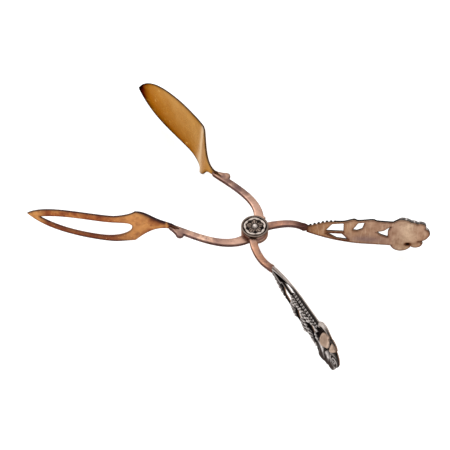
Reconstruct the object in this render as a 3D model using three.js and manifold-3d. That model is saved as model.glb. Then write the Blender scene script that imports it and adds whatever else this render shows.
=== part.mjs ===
// Scissor-type bread tongs, in millimetres, +Z up.
// Z is the pivot axis and the origin is on the flat underside of the pivot pin. The lower half lies
// along X, its blade towards -X and its handle towards +X. The upper half is the same kind of arm
// turned over about X and opened about Z. Each half is modelled about its own arm's middle plane.
import * as THREE from 'three';
import { mergeVertices } from 'three/addons/utils/BufferGeometryUtils.js';
import Module from 'manifold-3d';

const wasm = await Module();
wasm.setup();

// Opening of the two halves as they lie, in degrees from the blade tips meeting.
const restOpening = 51.9;

// Pivot stack, from the underside up.
const pinTailThickness = 0.6;
const pinTailRadius = 2.6;
const pinRadius = 1.5;
const pinClearance = 0.3;
const pinBeadHeight = 1.2;
const burrThickness = 0.8;
const burrRadius = 4.6;
const runningGap = 0.3;
const hubRadius = 6.3;

// Rosette: a plain rim, a sunk ground, a ring of petals and a collar round the pin's bead.
const capRadius = 6.4;
const capThickness = 1.1;
const capRimWidth = 1.0;
const capRimRound = 0.25;
const capGroundDepth = 0.4;
const capPetals = 5;
const capPetalRing = 3.5;
const capPetalLength = 1.5;
const capPetalWidth = 1.7;
const capPetalHeight = 0.75;
const capCollarRadius = 2.5;

// Arms: flat bars with rounded edges that bow out on both sides of the pivot. The handle's end is
// set over to the middle plane of the two arms.
const armThickness = 2.1;
const armEdgeRound = 0.5;
const armWidth = 4.0;
const hubFlare = 3.0;
const hubFlareFade = 6;
const neckReach = 38.5;
const neckOffset = 1.8;
const neckWidth = 3.0;
const bladeBowNear = new THREE.Vector2(-8.0, -13.2);
const bladeBowFar = new THREE.Vector2(-24.0, -6.7);
const junctionReach = 22.6;
const junctionOffset = 5.0;
const junctionWidth = 3.1;
const handleBowNear = new THREE.Vector2(5.2, 5.8);
const handleBowFar = new THREE.Vector2(14.0, 8.2);

// Lobe on the outer edge of each arm, beside the neck.
const lobeRadius = 2.0;
const lobeFromNeck = 5.0;
const lobeStandOff = 2.1;

// Stop lug on the upper arm's eye: its tooth hangs beside the lower eye and meets the lower arm.
const lugAngle = 64;
const lugWidth = 1.6;
const lugReach = 2.3;
const lugOverlap = 1.2;
const lugDrop = 1.5;

// Blades: thin plates bent in plan. Each riser runs outwards to a sharp fold, from which the blade
// bows out a little more and comes back to meet the other one at the tip.
const bladeThickness = 1.0;
const tangLength = 4.2;
const tangClearance = 0.25;
const riserLength = 17.6;
const riserLead = 5.0;
const foldOffset = 4.0;
const foldApproach = new THREE.Vector2(6.5, 2.4);
const foldLeave = new THREE.Vector2(-4.0, -0.5);
const bellyFromFold = 13.0;
const bellyOffset = 5.4;
const bellyLeadIn = 5.0;
const bellyLeadOut = 11.0;
const tipLead = 15.0;
const tipLeadOffset = 3.6;
const tipGap = 0.2;
const spatulaLength = 55.2;
const loopLength = 51.5;

// Blade edges in distance from the fold and half height. Each leaves the arm at its root, is drawn to
// the riser point on its way to the flared corner, and sags from there to the waist. The side height
// bends the long edge between the waist and the tip.
const spatulaHighEdge = {
  root: 2.2,
  riser: new THREE.Vector2(-8.0, 15.0),
  corner: new THREE.Vector2(-2.6, 16.9),
  sag: 0.2,
  waist: 14.6,
  side: 14.8,
};
const spatulaLowEdge = {
  root: 1.5,
  riser: new THREE.Vector2(-7.4, 16.2),
  corner: new THREE.Vector2(0.5, 19.1),
  sag: 1.0,
  waist: 13.8,
  side: 15.4,
};
const loopHighEdge = {
  root: 2.8,
  riser: new THREE.Vector2(-7.2, 10.9),
  corner: new THREE.Vector2(-0.6, 12.4),
  sag: 0.3,
  waist: 9.1,
  side: 9.3,
};
const loopLowEdge = {
  root: 1.05,
  riser: new THREE.Vector2(-4.6, 4.4),
  corner: new THREE.Vector2(-0.2, 8.3),
  sag: 0,
  waist: 9.2,
  side: 9.0,
};

// Spatula: how far it lies off the arm's plane at fold and tip, how its tip is drawn in, and its fold,
// which is moved towards the pivot and leans that way by so much per millimetre of height.
const spatulaTipLead = new THREE.Vector2(46.5, 14.0);
const spatulaFoldLift = -1.9;
const spatulaTipLift = 4.3;
const spatulaFoldShift = 1.6;
const spatulaFoldLean = 0.135;

// Loop: the same sizes, with an upright fold, and its teardrop opening, which lies a little low. The
// opening's blunt end by the fold is set high, and its edges turn there towards these heights.
const loopTipLead = new THREE.Vector2(43.0, 8.2);
const loopFoldLift = -0.5;
const loopTipLift = 0.7;
const loopFoldShift = 0;
const loopFoldLean = 0;
const loopOpeningStart = new THREE.Vector2(1.0, 2.0);
const loopOpeningHighTurn = 5.4;
const loopOpeningLowTurn = -2.0;
const loopOpeningShoulder = 6.2;
const loopOpeningWidest = 16.5;
const loopOpeningEnd = 45.2;
const loopOpeningHalf = 5.0;
const loopOpeningDrop = 0.4;
const loopOpeningTaper = 0.65;

// Where both outlines leave the flared corner for the long side of the blade.
const waistFromFold = 9.0;

// Handles: a relief front and a smooth back, soldered round a tongue on the arm's end.
const handleAngle = 3.6;
const frontThickness = 0.8;
const backThickness = 0.5;
const platesGap = 0.15;
const backInset = 0.3;
const tongueLength = 6.0;
const tongueThickness = 0.8;
const tongueHeight = 1.3;
const tongueClearance = 0.3;
const collarLength = 3.4;
const collarDepth = 2.9;
const collarHeight = 4.2;
const knotStart = 1.2;
const knotLength = 9.0;
const knotHeight = 3.6;
const knotDepth = 2.2;

// Handle outline in distance along it and height, leafy upper edge first, up to the rose.
const leafyEdge = [
  [1.2, 1.2], [5, 3.0], [11, 5.2], [18, 5.7], [22.8, 7.6], [25.2, 6.8], [31.6, 7.9], [34.2, 7.0], [44, 6.6],
];
const plainEdge = [[44, -10.4], [34, -10.2], [24, -9.8], [14, -7.9], [6, -5.2], [1.2, -3.1]];
const piercings = [
  [[10.2, -1.1], [12.9, 3.6], [18.2, 4.5], [18.4, -1.6], [10.7, -1.6]],
  [[10.6, -3.0], [17.8, -3.1], [20.9, -7.4], [15.6, -6.6]],
  [[22.6, -0.2], [25.0, 5.1], [28.0, 5.7], [27.0, 0.9], [24.7, -0.5]],
  [[33.7, -0.8], [37.1, 0.3], [40.5, 3.8], [39.0, 0.2], [39.2, -4.2], [36.2, -2.9]],
];

// The upper handle is a little longer than the lower one.
const lowerHandleStretch = 1.0;
const upperHandleStretch = 1.04;

// Relief on the front: a rail along the plain edge, leaves given by stalk, tip and width.
const reliefHeight = 0.7;
const railWidth = 1.3;
const leaves = [
  { stalk: [2.5, 0.4], tip: [18, 4.9], width: 2.4 },
  { stalk: [17.6, 2.6], tip: [24.8, 6.4], width: 3.0 },
  { stalk: [26.4, 2.2], tip: [33.8, 6.6], width: 4.0 },
  { stalk: [34.0, 3.4], tip: [42.0, 5.0], width: 3.4 },
  { stalk: [20.0, -4.8], tip: [41.0, -6.4], width: 4.6 },
];

// Rose: outer petals by place and radius, an inner ring and the heart.
const roseMiddle = new THREE.Vector2(48.8, -2.6);
const roseMiddleRadius = 5.6;
const outerPetals = [
  [45.5, 3.3, 5.6],
  [50.2, 4.4, 2.9],
  [53.8, 3.8, 2.8],
  [54.2, -1.2, 4.6],
  [52.9, -8.2, 3.1],
  [45.7, -9.2, 5.0],
];
const outerPetalHeight = 2.2;
const innerPetals = 5;
const innerPetalRing = 3.0;
const innerPetalRadius = 3.4;
const innerPetalHeight = 2.8;
const heartRadius = 2.4;
const heartHeight = 3.2;

// Vent hole in the back, behind the hollow rose.
const ventRadius = 1.0;
const ventPlace = new THREE.Vector2(48.8, -7.6);

// Facets of the curved forms.
const roundSides = 32;
const boreSides = 20;
const petalSides = 10;
const curveSteps = 14;
const beadSteps = 5;

// Levels and places that follow from the sizes above.
const lowerArmMiddle = pinTailThickness + burrThickness + armThickness / 2;
const upperArmMiddle = lowerArmMiddle + armThickness + runningGap;
const handleSetOver = (upperArmMiddle - lowerArmMiddle) / 2;
const capBottom = upperArmMiddle + armThickness / 2 + runningGap;
const capTop = capBottom + capThickness;
const capGround = capTop - capGroundDepth;
const boreRadius = pinRadius + pinClearance;
const pivot = new THREE.Vector2(0, 0);
const neck = new THREE.Vector2(-neckReach, -neckOffset);
const junction = new THREE.Vector2(junctionReach, junctionOffset);
const foldX = -neckReach - riserLength;
const tipX = foldX - Math.max(spatulaLength, loopLength);
const tongueNear = tongueClearance - platesGap;
const tongueFar = tongueNear + tongueThickness;
const degree = THREE.MathUtils.degToRad(1);

// Closed geometry to a solid for joining and cutting.
function solid(geometry) {
  const bare = geometry.clone();
  bare.deleteAttribute('normal');
  bare.deleteAttribute('uv');
  const merged = mergeVertices(bare);
  const corners = [];
  for (let i = 0; i < merged.index.count; i += 3) {
    const [a, b, c] = merged.index.array.slice(i, i + 3);
    if (a !== b && b !== c && c !== a) corners.push(a, b, c);
  }
  return new wasm.Manifold(new wasm.Mesh({
    numProp: 3,
    vertProperties: new Float32Array(merged.attributes.position.array),
    triVerts: new Uint32Array(corners),
  }));
}

// Solid back to geometry.
function surface(body) {
  const result = body.getMesh();
  const geometry = new THREE.BufferGeometry();
  geometry.setAttribute('position', new THREE.BufferAttribute(result.vertProperties, 3));
  geometry.setIndex(new THREE.BufferAttribute(result.triVerts, 1));
  return geometry;
}

function piece(name, geometry, look) {
  geometry.computeVertexNormals();
  const mesh = new THREE.Mesh(geometry, new THREE.MeshStandardMaterial(look));
  mesh.name = name;
  return mesh;
}

function extrude(shape, height, round) {
  return new THREE.ExtrudeGeometry(shape, {
    depth: height - 2 * round,
    steps: 1,
    curveSegments: curveSteps,
    bevelEnabled: round > 0,
    bevelSize: round,
    bevelOffset: -round,
    bevelThickness: round,
    bevelSegments: 2,
  });
}

// Plan shape raised from z = bottom, its rim rounded if asked.
function raise(shape, bottom, height, round = 0) {
  const geometry = extrude(shape, height, round);
  geometry.translate(0, 0, bottom + round);
  return solid(geometry);
}

// Side shape, drawn in x and z, thickened along +Y from y = near.
function thicken(shape, near, depth, round = 0) {
  const geometry = extrude(shape, depth, round);
  geometry.rotateX(Math.PI / 2);
  geometry.translate(0, near + depth - round, 0);
  return solid(geometry);
}

function box(low, high) {
  const size = high.clone().sub(low);
  const middle = high.clone().add(low).multiplyScalar(0.5);
  const geometry = new THREE.BoxGeometry(size.x, size.y, size.z);
  geometry.translate(middle.x, middle.y, middle.z);
  return geometry;
}

function disc(radius, bottom, height, sides = roundSides) {
  const geometry = new THREE.CylinderGeometry(radius, radius, height, sides);
  geometry.rotateX(Math.PI / 2);
  geometry.translate(0, 0, bottom + height / 2);
  return solid(geometry);
}

// Sphere scaled to its three half sizes.
function egg(halfX, halfY, halfZ) {
  const geometry = new THREE.SphereGeometry(1, petalSides, petalSides / 2);
  geometry.scale(halfX, halfY, halfZ);
  return geometry;
}

function revolve(profile, sides) {
  const geometry = new THREE.LatheGeometry(profile.map(([r, z]) => new THREE.Vector2(r, z)), sides);
  geometry.rotateX(Math.PI / 2);
  return solid(geometry);
}

// Smooth row of points through a few given ones.
function through(points, steps) {
  return new THREE.SplineCurve(points.map(([s, z]) => new THREE.Vector2(s, z))).getPoints(steps);
}

// Strip of varying width along a row of points.
function strip(points, halfWidthAt) {
  const left = [];
  const right = [];
  points.forEach((point, i) => {
    const before = points[Math.max(i - 1, 0)];
    const after = points[Math.min(i + 1, points.length - 1)];
    const along = after.clone().sub(before).normalize();
    const halfWidth = halfWidthAt(i / (points.length - 1));
    const across = new THREE.Vector2(-along.y, along.x).multiplyScalar(halfWidth);
    left.push(point.clone().add(across));
    right.unshift(point.clone().sub(across));
  });
  return new THREE.Shape([...left, ...right]);
}

// Arm centrelines, from the pivot outwards.
const bladeSide = new THREE.CubicBezierCurve(pivot, bladeBowNear, bladeBowFar, neck);
const handleSide = new THREE.CubicBezierCurve(pivot, handleBowNear, handleBowFar, junction);
const neckHeading = bladeSide.getTangent(1);
const neckOutward = new THREE.Vector2(-neckHeading.y, neckHeading.x);

// Bar along a centreline, narrowing towards its end, and flared by so much at the pivot.
function bar(curve, endWidth, flare) {
  const widthAt = (t) => THREE.MathUtils.lerp(armWidth, endWidth, t) + flare * (1 - t) ** hubFlareFade;
  const outline = strip(curve.getPoints(curveSteps), (t) => widthAt(t) / 2);
  return raise(outline, -armThickness / 2, armThickness, armEdgeRound);
}

// Rounded lobe that swells from the neck and ends in a notch.
function lobeSolid() {
  const centre = neck.clone()
    .addScaledVector(neckHeading, -lobeFromNeck)
    .addScaledVector(neckOutward, lobeStandOff);
  const root = neck.clone().addScaledVector(neckHeading, -lobeFromNeck - lobeRadius);
  const neckSide = neck.clone().addScaledVector(neckOutward, neckWidth / 2);
  const outward = neckOutward.angle();
  const lobe = new THREE.Shape();
  lobe.moveTo(neck.x, neck.y);
  lobe.lineTo(neckSide.x, neckSide.y);
  lobe.absarc(centre.x, centre.y, lobeRadius, outward - Math.PI / 3, outward + Math.PI / 2, false);
  lobe.lineTo(root.x, root.y);
  return raise(lobe, -armThickness / 2, armThickness, armEdgeRound);
}

// Slot in the arm's end for the blade's tang.
function tangSlot() {
  const slotHalf = bladeThickness / 2 + tangClearance;
  const slot = box(
    new THREE.Vector3(-tangLength - tangClearance, -slotHalf, -armThickness),
    new THREE.Vector3(neckWidth, slotHalf, armThickness),
  );
  slot.rotateZ(neckHeading.angle());
  slot.translate(neck.x, neck.y, 0);
  return solid(slot);
}

// Tongue on the arm's other end, held between the two pieces of the handle.
function tongueSolid() {
  const tongue = box(
    new THREE.Vector3(-junctionWidth, tongueNear, -tongueHeight / 2),
    new THREE.Vector3(tongueLength, tongueFar, tongueHeight / 2),
  );
  tongue.rotateZ(handleAngle * degree);
  tongue.translate(junction.x, junction.y, 0);
  return solid(tongue);
}

// Rounded collar where the arm ends against the handle's plates.
function collarSolid() {
  const collar = egg(collarLength / 2, collarDepth / 2, collarHeight / 2);
  collar.translate(knotStart - runningGap - collarLength / 2, 0, 0);
  collar.rotateZ(handleAngle * degree);
  collar.translate(junction.x, junction.y, 0);
  return solid(collar);
}

// Stop lug in the upper half's own frame, where the lower arm is on the +Z side.
function lugSolid() {
  const half = armThickness / 2;
  const tab = box(
    new THREE.Vector3(hubRadius - lugOverlap, -lugWidth / 2, -half),
    new THREE.Vector3(hubRadius + lugReach, lugWidth / 2, half),
  );
  const tooth = box(
    new THREE.Vector3(hubRadius + runningGap, -lugWidth / 2, -half),
    new THREE.Vector3(hubRadius + lugReach, lugWidth / 2, half + runningGap + lugDrop),
  );
  const turn = -(restOpening + lugAngle) * degree;
  tab.rotateZ(turn);
  tooth.rotateZ(turn);
  return solid(tab).add(solid(tooth));
}

// Arm with its eye and lobe, bent so that the handle's end lies in the middle plane of the tongs.
function arm(extra = null) {
  let body = bar(bladeSide, neckWidth, hubFlare)
    .add(bar(handleSide, junctionWidth, 0))
    .add(collarSolid())
    .add(lobeSolid())
    .add(disc(hubRadius, -armThickness / 2, armThickness))
    .add(tongueSolid())
    .subtract(tangSlot())
    .subtract(disc(boreRadius, -armThickness, 2 * armThickness, boreSides));
  if (extra) body = body.add(extra);
  const geometry = surface(body);
  const place = geometry.attributes.position;
  const bendStart = hubRadius + lugReach;
  for (let i = 0; i < place.count; i += 1) {
    const share = THREE.MathUtils.smoothstep(place.getX(i), bendStart, junctionReach - junctionWidth);
    place.setZ(i, place.getZ(i) + share * handleSetOver);
  }
  return geometry;
}

// Plan of the tang, riser and blade, from inside the arm's end to the tip.
function bladePlan() {
  const fold = new THREE.Vector2(foldX, -foldOffset);
  const belly = new THREE.Vector2(foldX - bellyFromFold, -bellyOffset);
  const tip = new THREE.Vector2(tipX, -tipGap - bladeThickness / 2);
  const riser = new THREE.CubicBezierCurve(
    neck,
    neck.clone().addScaledVector(neckHeading, riserLead),
    fold.clone().add(foldApproach),
    fold,
  );
  const bow = new THREE.CubicBezierCurve(
    fold,
    fold.clone().add(foldLeave),
    new THREE.Vector2(belly.x + bellyLeadIn, belly.y),
    belly,
  );
  const blade = new THREE.CubicBezierCurve(
    belly,
    new THREE.Vector2(belly.x - bellyLeadOut, belly.y),
    new THREE.Vector2(tip.x + tipLead, -tipLeadOffset),
    tip,
  );
  const tangEnd = neck.clone().addScaledVector(neckHeading, -tangLength);
  return [
    tangEnd,
    ...riser.getPoints(curveSteps),
    ...bow.getPoints(curveSteps / 2).slice(1),
    ...blade.getPoints(curveSteps).slice(1),
  ];
}

// Half outline of a blade in distance from the fold and half height, from the neck to the tip.
function bladeEdge(length, { root, riser, corner, sag, waist, side }, tipLeadPoint) {
  const waistPoint = new THREE.Vector2(waistFromFold, waist);
  const underCorner = new THREE.Vector2(corner.x, waist);
  const edge = new THREE.CurvePath();
  edge.add(new THREE.CubicBezierCurve(
    new THREE.Vector2(-riserLength, root),
    new THREE.Vector2(-riserLength / 2, root),
    riser,
    corner,
  ));
  edge.add(new THREE.CubicBezierCurve(
    corner,
    corner.clone().lerp(waistPoint, 1 / 3).lerp(underCorner, sag),
    waistPoint.clone().lerp(corner, 1 / 3).lerp(underCorner, sag),
    waistPoint,
  ));
  edge.add(new THREE.CubicBezierCurve(
    waistPoint,
    new THREE.Vector2((waistFromFold + length) / 2, side),
    tipLeadPoint,
    new THREE.Vector2(length, 0),
  ));
  return edge.getPoints(curveSteps);
}

// Closed blade outline from its two half edges, lifted off the arm's plane at the fold and the tip.
function bladeOutline(length, upperEdge, lowerEdge, foldLift, tipLift) {
  const lift = (s) => (s < 0
    ? foldLift * THREE.MathUtils.smoothstep(s, -riserLength, 0)
    : THREE.MathUtils.lerp(foldLift, tipLift, s / length));
  const place = (s, z) => new THREE.Vector2(foldX - s, z + lift(s));
  const tangEnd = -riserLength - tangLength;
  return new THREE.Shape([
    place(tangEnd, armThickness / 2),
    ...upperEdge.map((p) => place(p.x, p.y)),
    ...lowerEdge.slice(0, -1).reverse().map((p) => place(p.x, -p.y)),
    place(tangEnd, -armThickness / 2),
  ]);
}

// Blade plate: the bent strip seen from above, its fold moved and leant, cut to the outline seen from
// the side.
function bladeSolid(outline, foldShift, foldLean) {
  const reach = 3 * Math.max(spatulaHighEdge.corner.y, spatulaLowEdge.corner.y);
  const depth = 3 * (bellyOffset + neckOffset + tangLength);
  const bent = extrude(strip(bladePlan(), () => bladeThickness / 2), reach, 0);
  bent.translate(0, 0, -reach / 2);
  const place = bent.attributes.position;
  for (let i = 0; i < place.count; i += 1) {
    const share = 1 - THREE.MathUtils.smoothstep(place.getX(i), foldX, neck.x);
    place.setX(i, place.getX(i) + share * (foldShift - foldLean * place.getZ(i)));
  }
  return solid(bent).intersect(thicken(outline, -depth / 2, depth));
}

// One long edge of the loop's opening, from its blunt end to its point, at a signed half height.
function openingEdge(turn, half) {
  const widest = new THREE.Vector2(loopOpeningWidest, half);
  const edge = new THREE.CurvePath();
  edge.add(new THREE.CubicBezierCurve(
    loopOpeningStart,
    new THREE.Vector2(loopOpeningStart.x, turn),
    new THREE.Vector2(loopOpeningShoulder, half),
    widest,
  ));
  edge.add(new THREE.CubicBezierCurve(
    widest,
    new THREE.Vector2((loopOpeningWidest + loopOpeningEnd) / 2, half),
    new THREE.Vector2((loopOpeningWidest + 3 * loopOpeningEnd) / 4, half * loopOpeningTaper),
    new THREE.Vector2(loopOpeningEnd, 0),
  ));
  return edge.getPoints(curveSteps);
}

// Teardrop through the loop blade, blunt at the fold and pointed towards the tip.
function loopOpening() {
  const lift = (s) => THREE.MathUtils.lerp(loopFoldLift, loopTipLift, s / loopLength) - loopOpeningDrop;
  const place = (p) => new THREE.Vector2(foldX - p.x, lift(p.x) + p.y);
  const upper = openingEdge(loopOpeningHighTurn, loopOpeningHalf);
  const lower = openingEdge(loopOpeningLowTurn, -loopOpeningHalf).slice(1, -1).reverse();
  const outline = new THREE.Shape([...upper, ...lower].map(place));
  const depth = 4 * (bellyOffset + bladeThickness);
  return thicken(outline, -depth / 2, depth);
}

// Handle outline up to the rose, drawn in from both long edges by an inset.
function leafOutline(inset) {
  const upper = through(leafyEdge, 2 * curveSteps).map((p) => new THREE.Vector2(p.x, p.y - inset));
  const lower = through(plainEdge, curveSteps).map((p) => new THREE.Vector2(p.x, p.y + inset));
  return new THREE.Shape([...upper, ...lower]);
}

// Cuts the four piercings through what lies between two depths.
function pierce(body, near, far) {
  return piercings.reduce((left, outline) => {
    const shape = new THREE.Shape(outline.map(([s, z]) => new THREE.Vector2(s, z)));
    return left.subtract(thicken(shape, near, far - near));
  }, body);
}

// Plate behind the rose: a round for each outer petal and one for the middle.
function rosePlate(near, depth, inset) {
  const rounds = [...outerPetals, [roseMiddle.x, roseMiddle.y, roseMiddleRadius]];
  const solids = rounds.map(([along, aside, radius]) => {
    const lobe = new THREE.CylinderGeometry(radius - inset, radius - inset, depth, boreSides);
    lobe.translate(along, near + depth / 2, aside);
    return solid(lobe);
  });
  return solids.reduce((plate, lobe) => plate.add(lobe));
}

// Petals swelling out of the front face.
function roseSolids() {
  const petals = outerPetals.map(([along, aside, radius]) => {
    const petal = egg(radius, outerPetalHeight, radius);
    petal.translate(along, 0, aside);
    return solid(petal);
  });
  for (let i = 0; i < innerPetals; i += 1) {
    const angle = (i / innerPetals) * 2 * Math.PI;
    const petal = egg(innerPetalRadius, innerPetalHeight, innerPetalRadius);
    petal.translate(
      roseMiddle.x + innerPetalRing * Math.cos(angle),
      0,
      roseMiddle.y + innerPetalRing * Math.sin(angle),
    );
    petals.push(solid(petal));
  }
  const heart = egg(heartRadius, heartHeight, heartRadius);
  heart.translate(roseMiddle.x, 0, roseMiddle.y);
  return [...petals, solid(heart)];
}

// Leaf swelling out of the front face.
function leafSolid({ stalk, tip, width }) {
  const along = new THREE.Vector2(tip[0] - stalk[0], tip[1] - stalk[1]);
  const leaf = egg(along.length() / 2, reliefHeight, width / 2);
  leaf.rotateY(-along.angle());
  leaf.translate((stalk[0] + tip[0]) / 2, frontThickness, (stalk[1] + tip[1]) / 2);
  return solid(leaf);
}

// Front of the handle: pierced plate, knot over the tongue, rail, leaves and rose.
function handleFront() {
  const railLine = through(plainEdge, curveSteps).map((p) => new THREE.Vector2(p.x, p.y + railWidth / 2));
  const rail = thicken(strip(railLine, () => railWidth / 2), 0, frontThickness + reliefHeight);
  const knot = egg(knotLength / 2, knotDepth, knotHeight / 2);
  knot.translate(knotStart + knotLength / 2, 0, 0);

  let front = thicken(leafOutline(0), 0, frontThickness).add(rosePlate(0, frontThickness, 0)).add(rail);
  for (const leaf of leaves) front = front.add(leafSolid(leaf));
  front = pierce(front, -frontThickness, frontThickness + 2 * reliefHeight);
  for (const petal of roseSolids()) front = front.add(petal);
  front = front.add(solid(knot));

  const reach = 2 * (roseMiddle.x + 2 * roseMiddleRadius);
  const behind = box(new THREE.Vector3(-reach, -reach, -reach), new THREE.Vector3(reach, 0, reach));
  const pocketHalf = tongueHeight / 2 + tongueClearance;
  const pocket = box(
    new THREE.Vector3(-reach, -reach, -pocketHalf),
    new THREE.Vector3(tongueLength + tongueClearance, tongueFar + tongueClearance, pocketHalf),
  );
  return front.subtract(solid(behind)).subtract(solid(pocket));
}

// Back of the handle: the same outline drawn in a little, with the vent hole behind the rose.
function handleBack() {
  const near = -platesGap - backThickness;
  const vent = new THREE.CylinderGeometry(ventRadius, ventRadius, 4 * backThickness, boreSides);
  vent.translate(ventPlace.x, near, ventPlace.y);
  const plate = thicken(leafOutline(backInset), near, backThickness)
    .add(rosePlate(near, backThickness, backInset));
  return pierce(plate, near - backThickness, near + 2 * backThickness).subtract(solid(vent));
}

// Rivet with a flat closed tail, a plain shank and a bead head that stands in the rosette.
function pinSolid() {
  const headBottom = capTop + pinClearance;
  const headRadius = boreRadius + pinClearance;
  const profile = [
    [0, 0],
    [pinTailRadius, 0],
    [pinTailRadius, pinTailThickness],
    [pinRadius, pinTailThickness],
    [pinRadius, headBottom],
    [headRadius, headBottom],
  ];
  for (let i = 1; i < beadSteps; i += 1) {
    const angle = (i / beadSteps) * (Math.PI / 2);
    profile.push([headRadius * Math.cos(angle), headBottom + pinBeadHeight * Math.sin(angle)]);
  }
  profile.push([0, headBottom + pinBeadHeight]);
  return revolve(profile, boreSides);
}

// Washer under the lower eye, on which the rivet's tail is closed.
function burrSolid() {
  return disc(burrRadius, pinTailThickness, burrThickness)
    .subtract(disc(boreRadius, 0, 2 * (pinTailThickness + burrThickness), boreSides));
}

// Rosette washer on the upper eye.
function capSolid() {
  let cap = revolve([
    [0, capBottom],
    [capRadius, capBottom],
    [capRadius, capTop - capRimRound],
    [capRadius - capRimRound, capTop],
    [capRadius - capRimWidth, capTop],
    [capRadius - capRimWidth - capGroundDepth, capGround],
    [capCollarRadius + capGroundDepth, capGround],
    [capCollarRadius, capTop],
    [0, capTop],
  ], roundSides);
  for (let i = 0; i < capPetals; i += 1) {
    const petal = egg(capPetalLength, capPetalWidth, capPetalHeight);
    petal.translate(capPetalRing, 0, capGround);
    petal.rotateZ((i / capPetals) * 2 * Math.PI);
    cap = cap.add(solid(petal));
  }
  const under = disc(2 * capRadius, 0, capBottom);
  const bore = disc(boreRadius, capBottom - capThickness, 4 * capThickness, boreSides);
  return cap.subtract(under).subtract(bore);
}

const silverPlate = { color: 0xb08f82, roughness: 0.38, metalness: 1.0 };
const gilt = { color: 0xb9823c, roughness: 0.3, metalness: 1.0 };
const copperGilt = { color: 0xa8703a, roughness: 0.34, metalness: 1.0 };
const blackenedSilver = { color: 0x6f655f, roughness: 0.45, metalness: 1.0 };
const wornBack = { color: 0xa98a76, roughness: 0.42, metalness: 1.0 };

// One half: arm, blade and the two pieces of the handle.
function half(side, armGeometry, blade, stretch) {
  const handle = new THREE.Group();
  handle.position.set(junction.x, junction.y, handleSetOver);
  handle.rotation.z = handleAngle * degree;
  const front = surface(handleFront()).scale(stretch, 1, 1);
  const back = surface(handleBack()).scale(stretch, 1, 1);
  handle.add(piece(`${side}_handle_front`, front, blackenedSilver));
  handle.add(piece(`${side}_handle_back`, back, wornBack));
  const group = new THREE.Group();
  group.add(piece(`${side}_arm`, armGeometry, silverPlate), blade, handle);
  return group;
}

const loopOutline = bladeOutline(
  loopLength,
  bladeEdge(loopLength, loopHighEdge, loopTipLead),
  bladeEdge(loopLength, loopLowEdge, loopTipLead),
  loopFoldLift,
  loopTipLift,
);
const loopSolid = bladeSolid(loopOutline, loopFoldShift, loopFoldLean).subtract(loopOpening());
const loopBlade = piece('loop_blade', surface(loopSolid), copperGilt);
const lowerHalf = half('lower', arm(), loopBlade, lowerHandleStretch);
lowerHalf.position.z = lowerArmMiddle;

const spatulaOutline = bladeOutline(
  spatulaLength,
  bladeEdge(spatulaLength, spatulaLowEdge, spatulaTipLead),
  bladeEdge(spatulaLength, spatulaHighEdge, spatulaTipLead),
  spatulaFoldLift,
  spatulaTipLift,
);
const spatulaSolid = bladeSolid(spatulaOutline, spatulaFoldShift, spatulaFoldLean);
const spatulaBlade = piece('spatula_blade', surface(spatulaSolid), gilt);
const upperHalf = half('upper', arm(lugSolid()), spatulaBlade, upperHandleStretch);
upperHalf.rotation.x = Math.PI;
const upperTurn = new THREE.Group();
upperTurn.position.z = upperArmMiddle;
upperTurn.rotation.z = -restOpening * degree;
upperTurn.add(upperHalf);

const tongs = new THREE.Group();
tongs.add(lowerHalf, upperTurn);
tongs.add(piece('pivot_pin', surface(pinSolid()), blackenedSilver));
tongs.add(piece('rivet_burr', surface(burrSolid()), silverPlate));
tongs.add(piece('rosette_cap', surface(capSolid()), blackenedSilver));

export default tongs;
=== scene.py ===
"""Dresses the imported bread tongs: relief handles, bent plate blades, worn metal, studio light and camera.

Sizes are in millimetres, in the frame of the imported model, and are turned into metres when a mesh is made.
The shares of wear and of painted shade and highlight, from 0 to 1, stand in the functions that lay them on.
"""
import math

import bmesh
import bpy
import numpy as np
from mathutils import Matrix, Vector
from mathutils.geometry import delaunay_2d_cdt


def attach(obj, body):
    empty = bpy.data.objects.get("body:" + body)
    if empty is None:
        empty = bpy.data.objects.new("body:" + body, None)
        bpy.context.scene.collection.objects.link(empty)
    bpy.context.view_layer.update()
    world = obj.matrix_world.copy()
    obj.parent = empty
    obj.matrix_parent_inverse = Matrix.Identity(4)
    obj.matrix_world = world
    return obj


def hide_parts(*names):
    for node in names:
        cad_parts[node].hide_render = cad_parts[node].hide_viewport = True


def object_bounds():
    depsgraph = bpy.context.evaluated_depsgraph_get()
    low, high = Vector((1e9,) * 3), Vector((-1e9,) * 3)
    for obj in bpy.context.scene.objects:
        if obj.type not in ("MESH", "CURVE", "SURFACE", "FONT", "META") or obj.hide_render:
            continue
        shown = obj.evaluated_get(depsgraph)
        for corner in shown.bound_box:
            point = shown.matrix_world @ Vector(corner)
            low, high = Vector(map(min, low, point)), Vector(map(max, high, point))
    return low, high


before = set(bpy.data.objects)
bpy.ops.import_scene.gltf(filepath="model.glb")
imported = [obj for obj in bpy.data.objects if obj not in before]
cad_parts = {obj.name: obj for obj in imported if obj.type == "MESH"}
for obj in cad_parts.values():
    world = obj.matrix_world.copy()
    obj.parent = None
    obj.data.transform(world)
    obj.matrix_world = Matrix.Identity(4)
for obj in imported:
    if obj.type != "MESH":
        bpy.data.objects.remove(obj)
cad_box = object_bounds()

MM = 0.001
FLOOR_GLOW = 0.3

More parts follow.
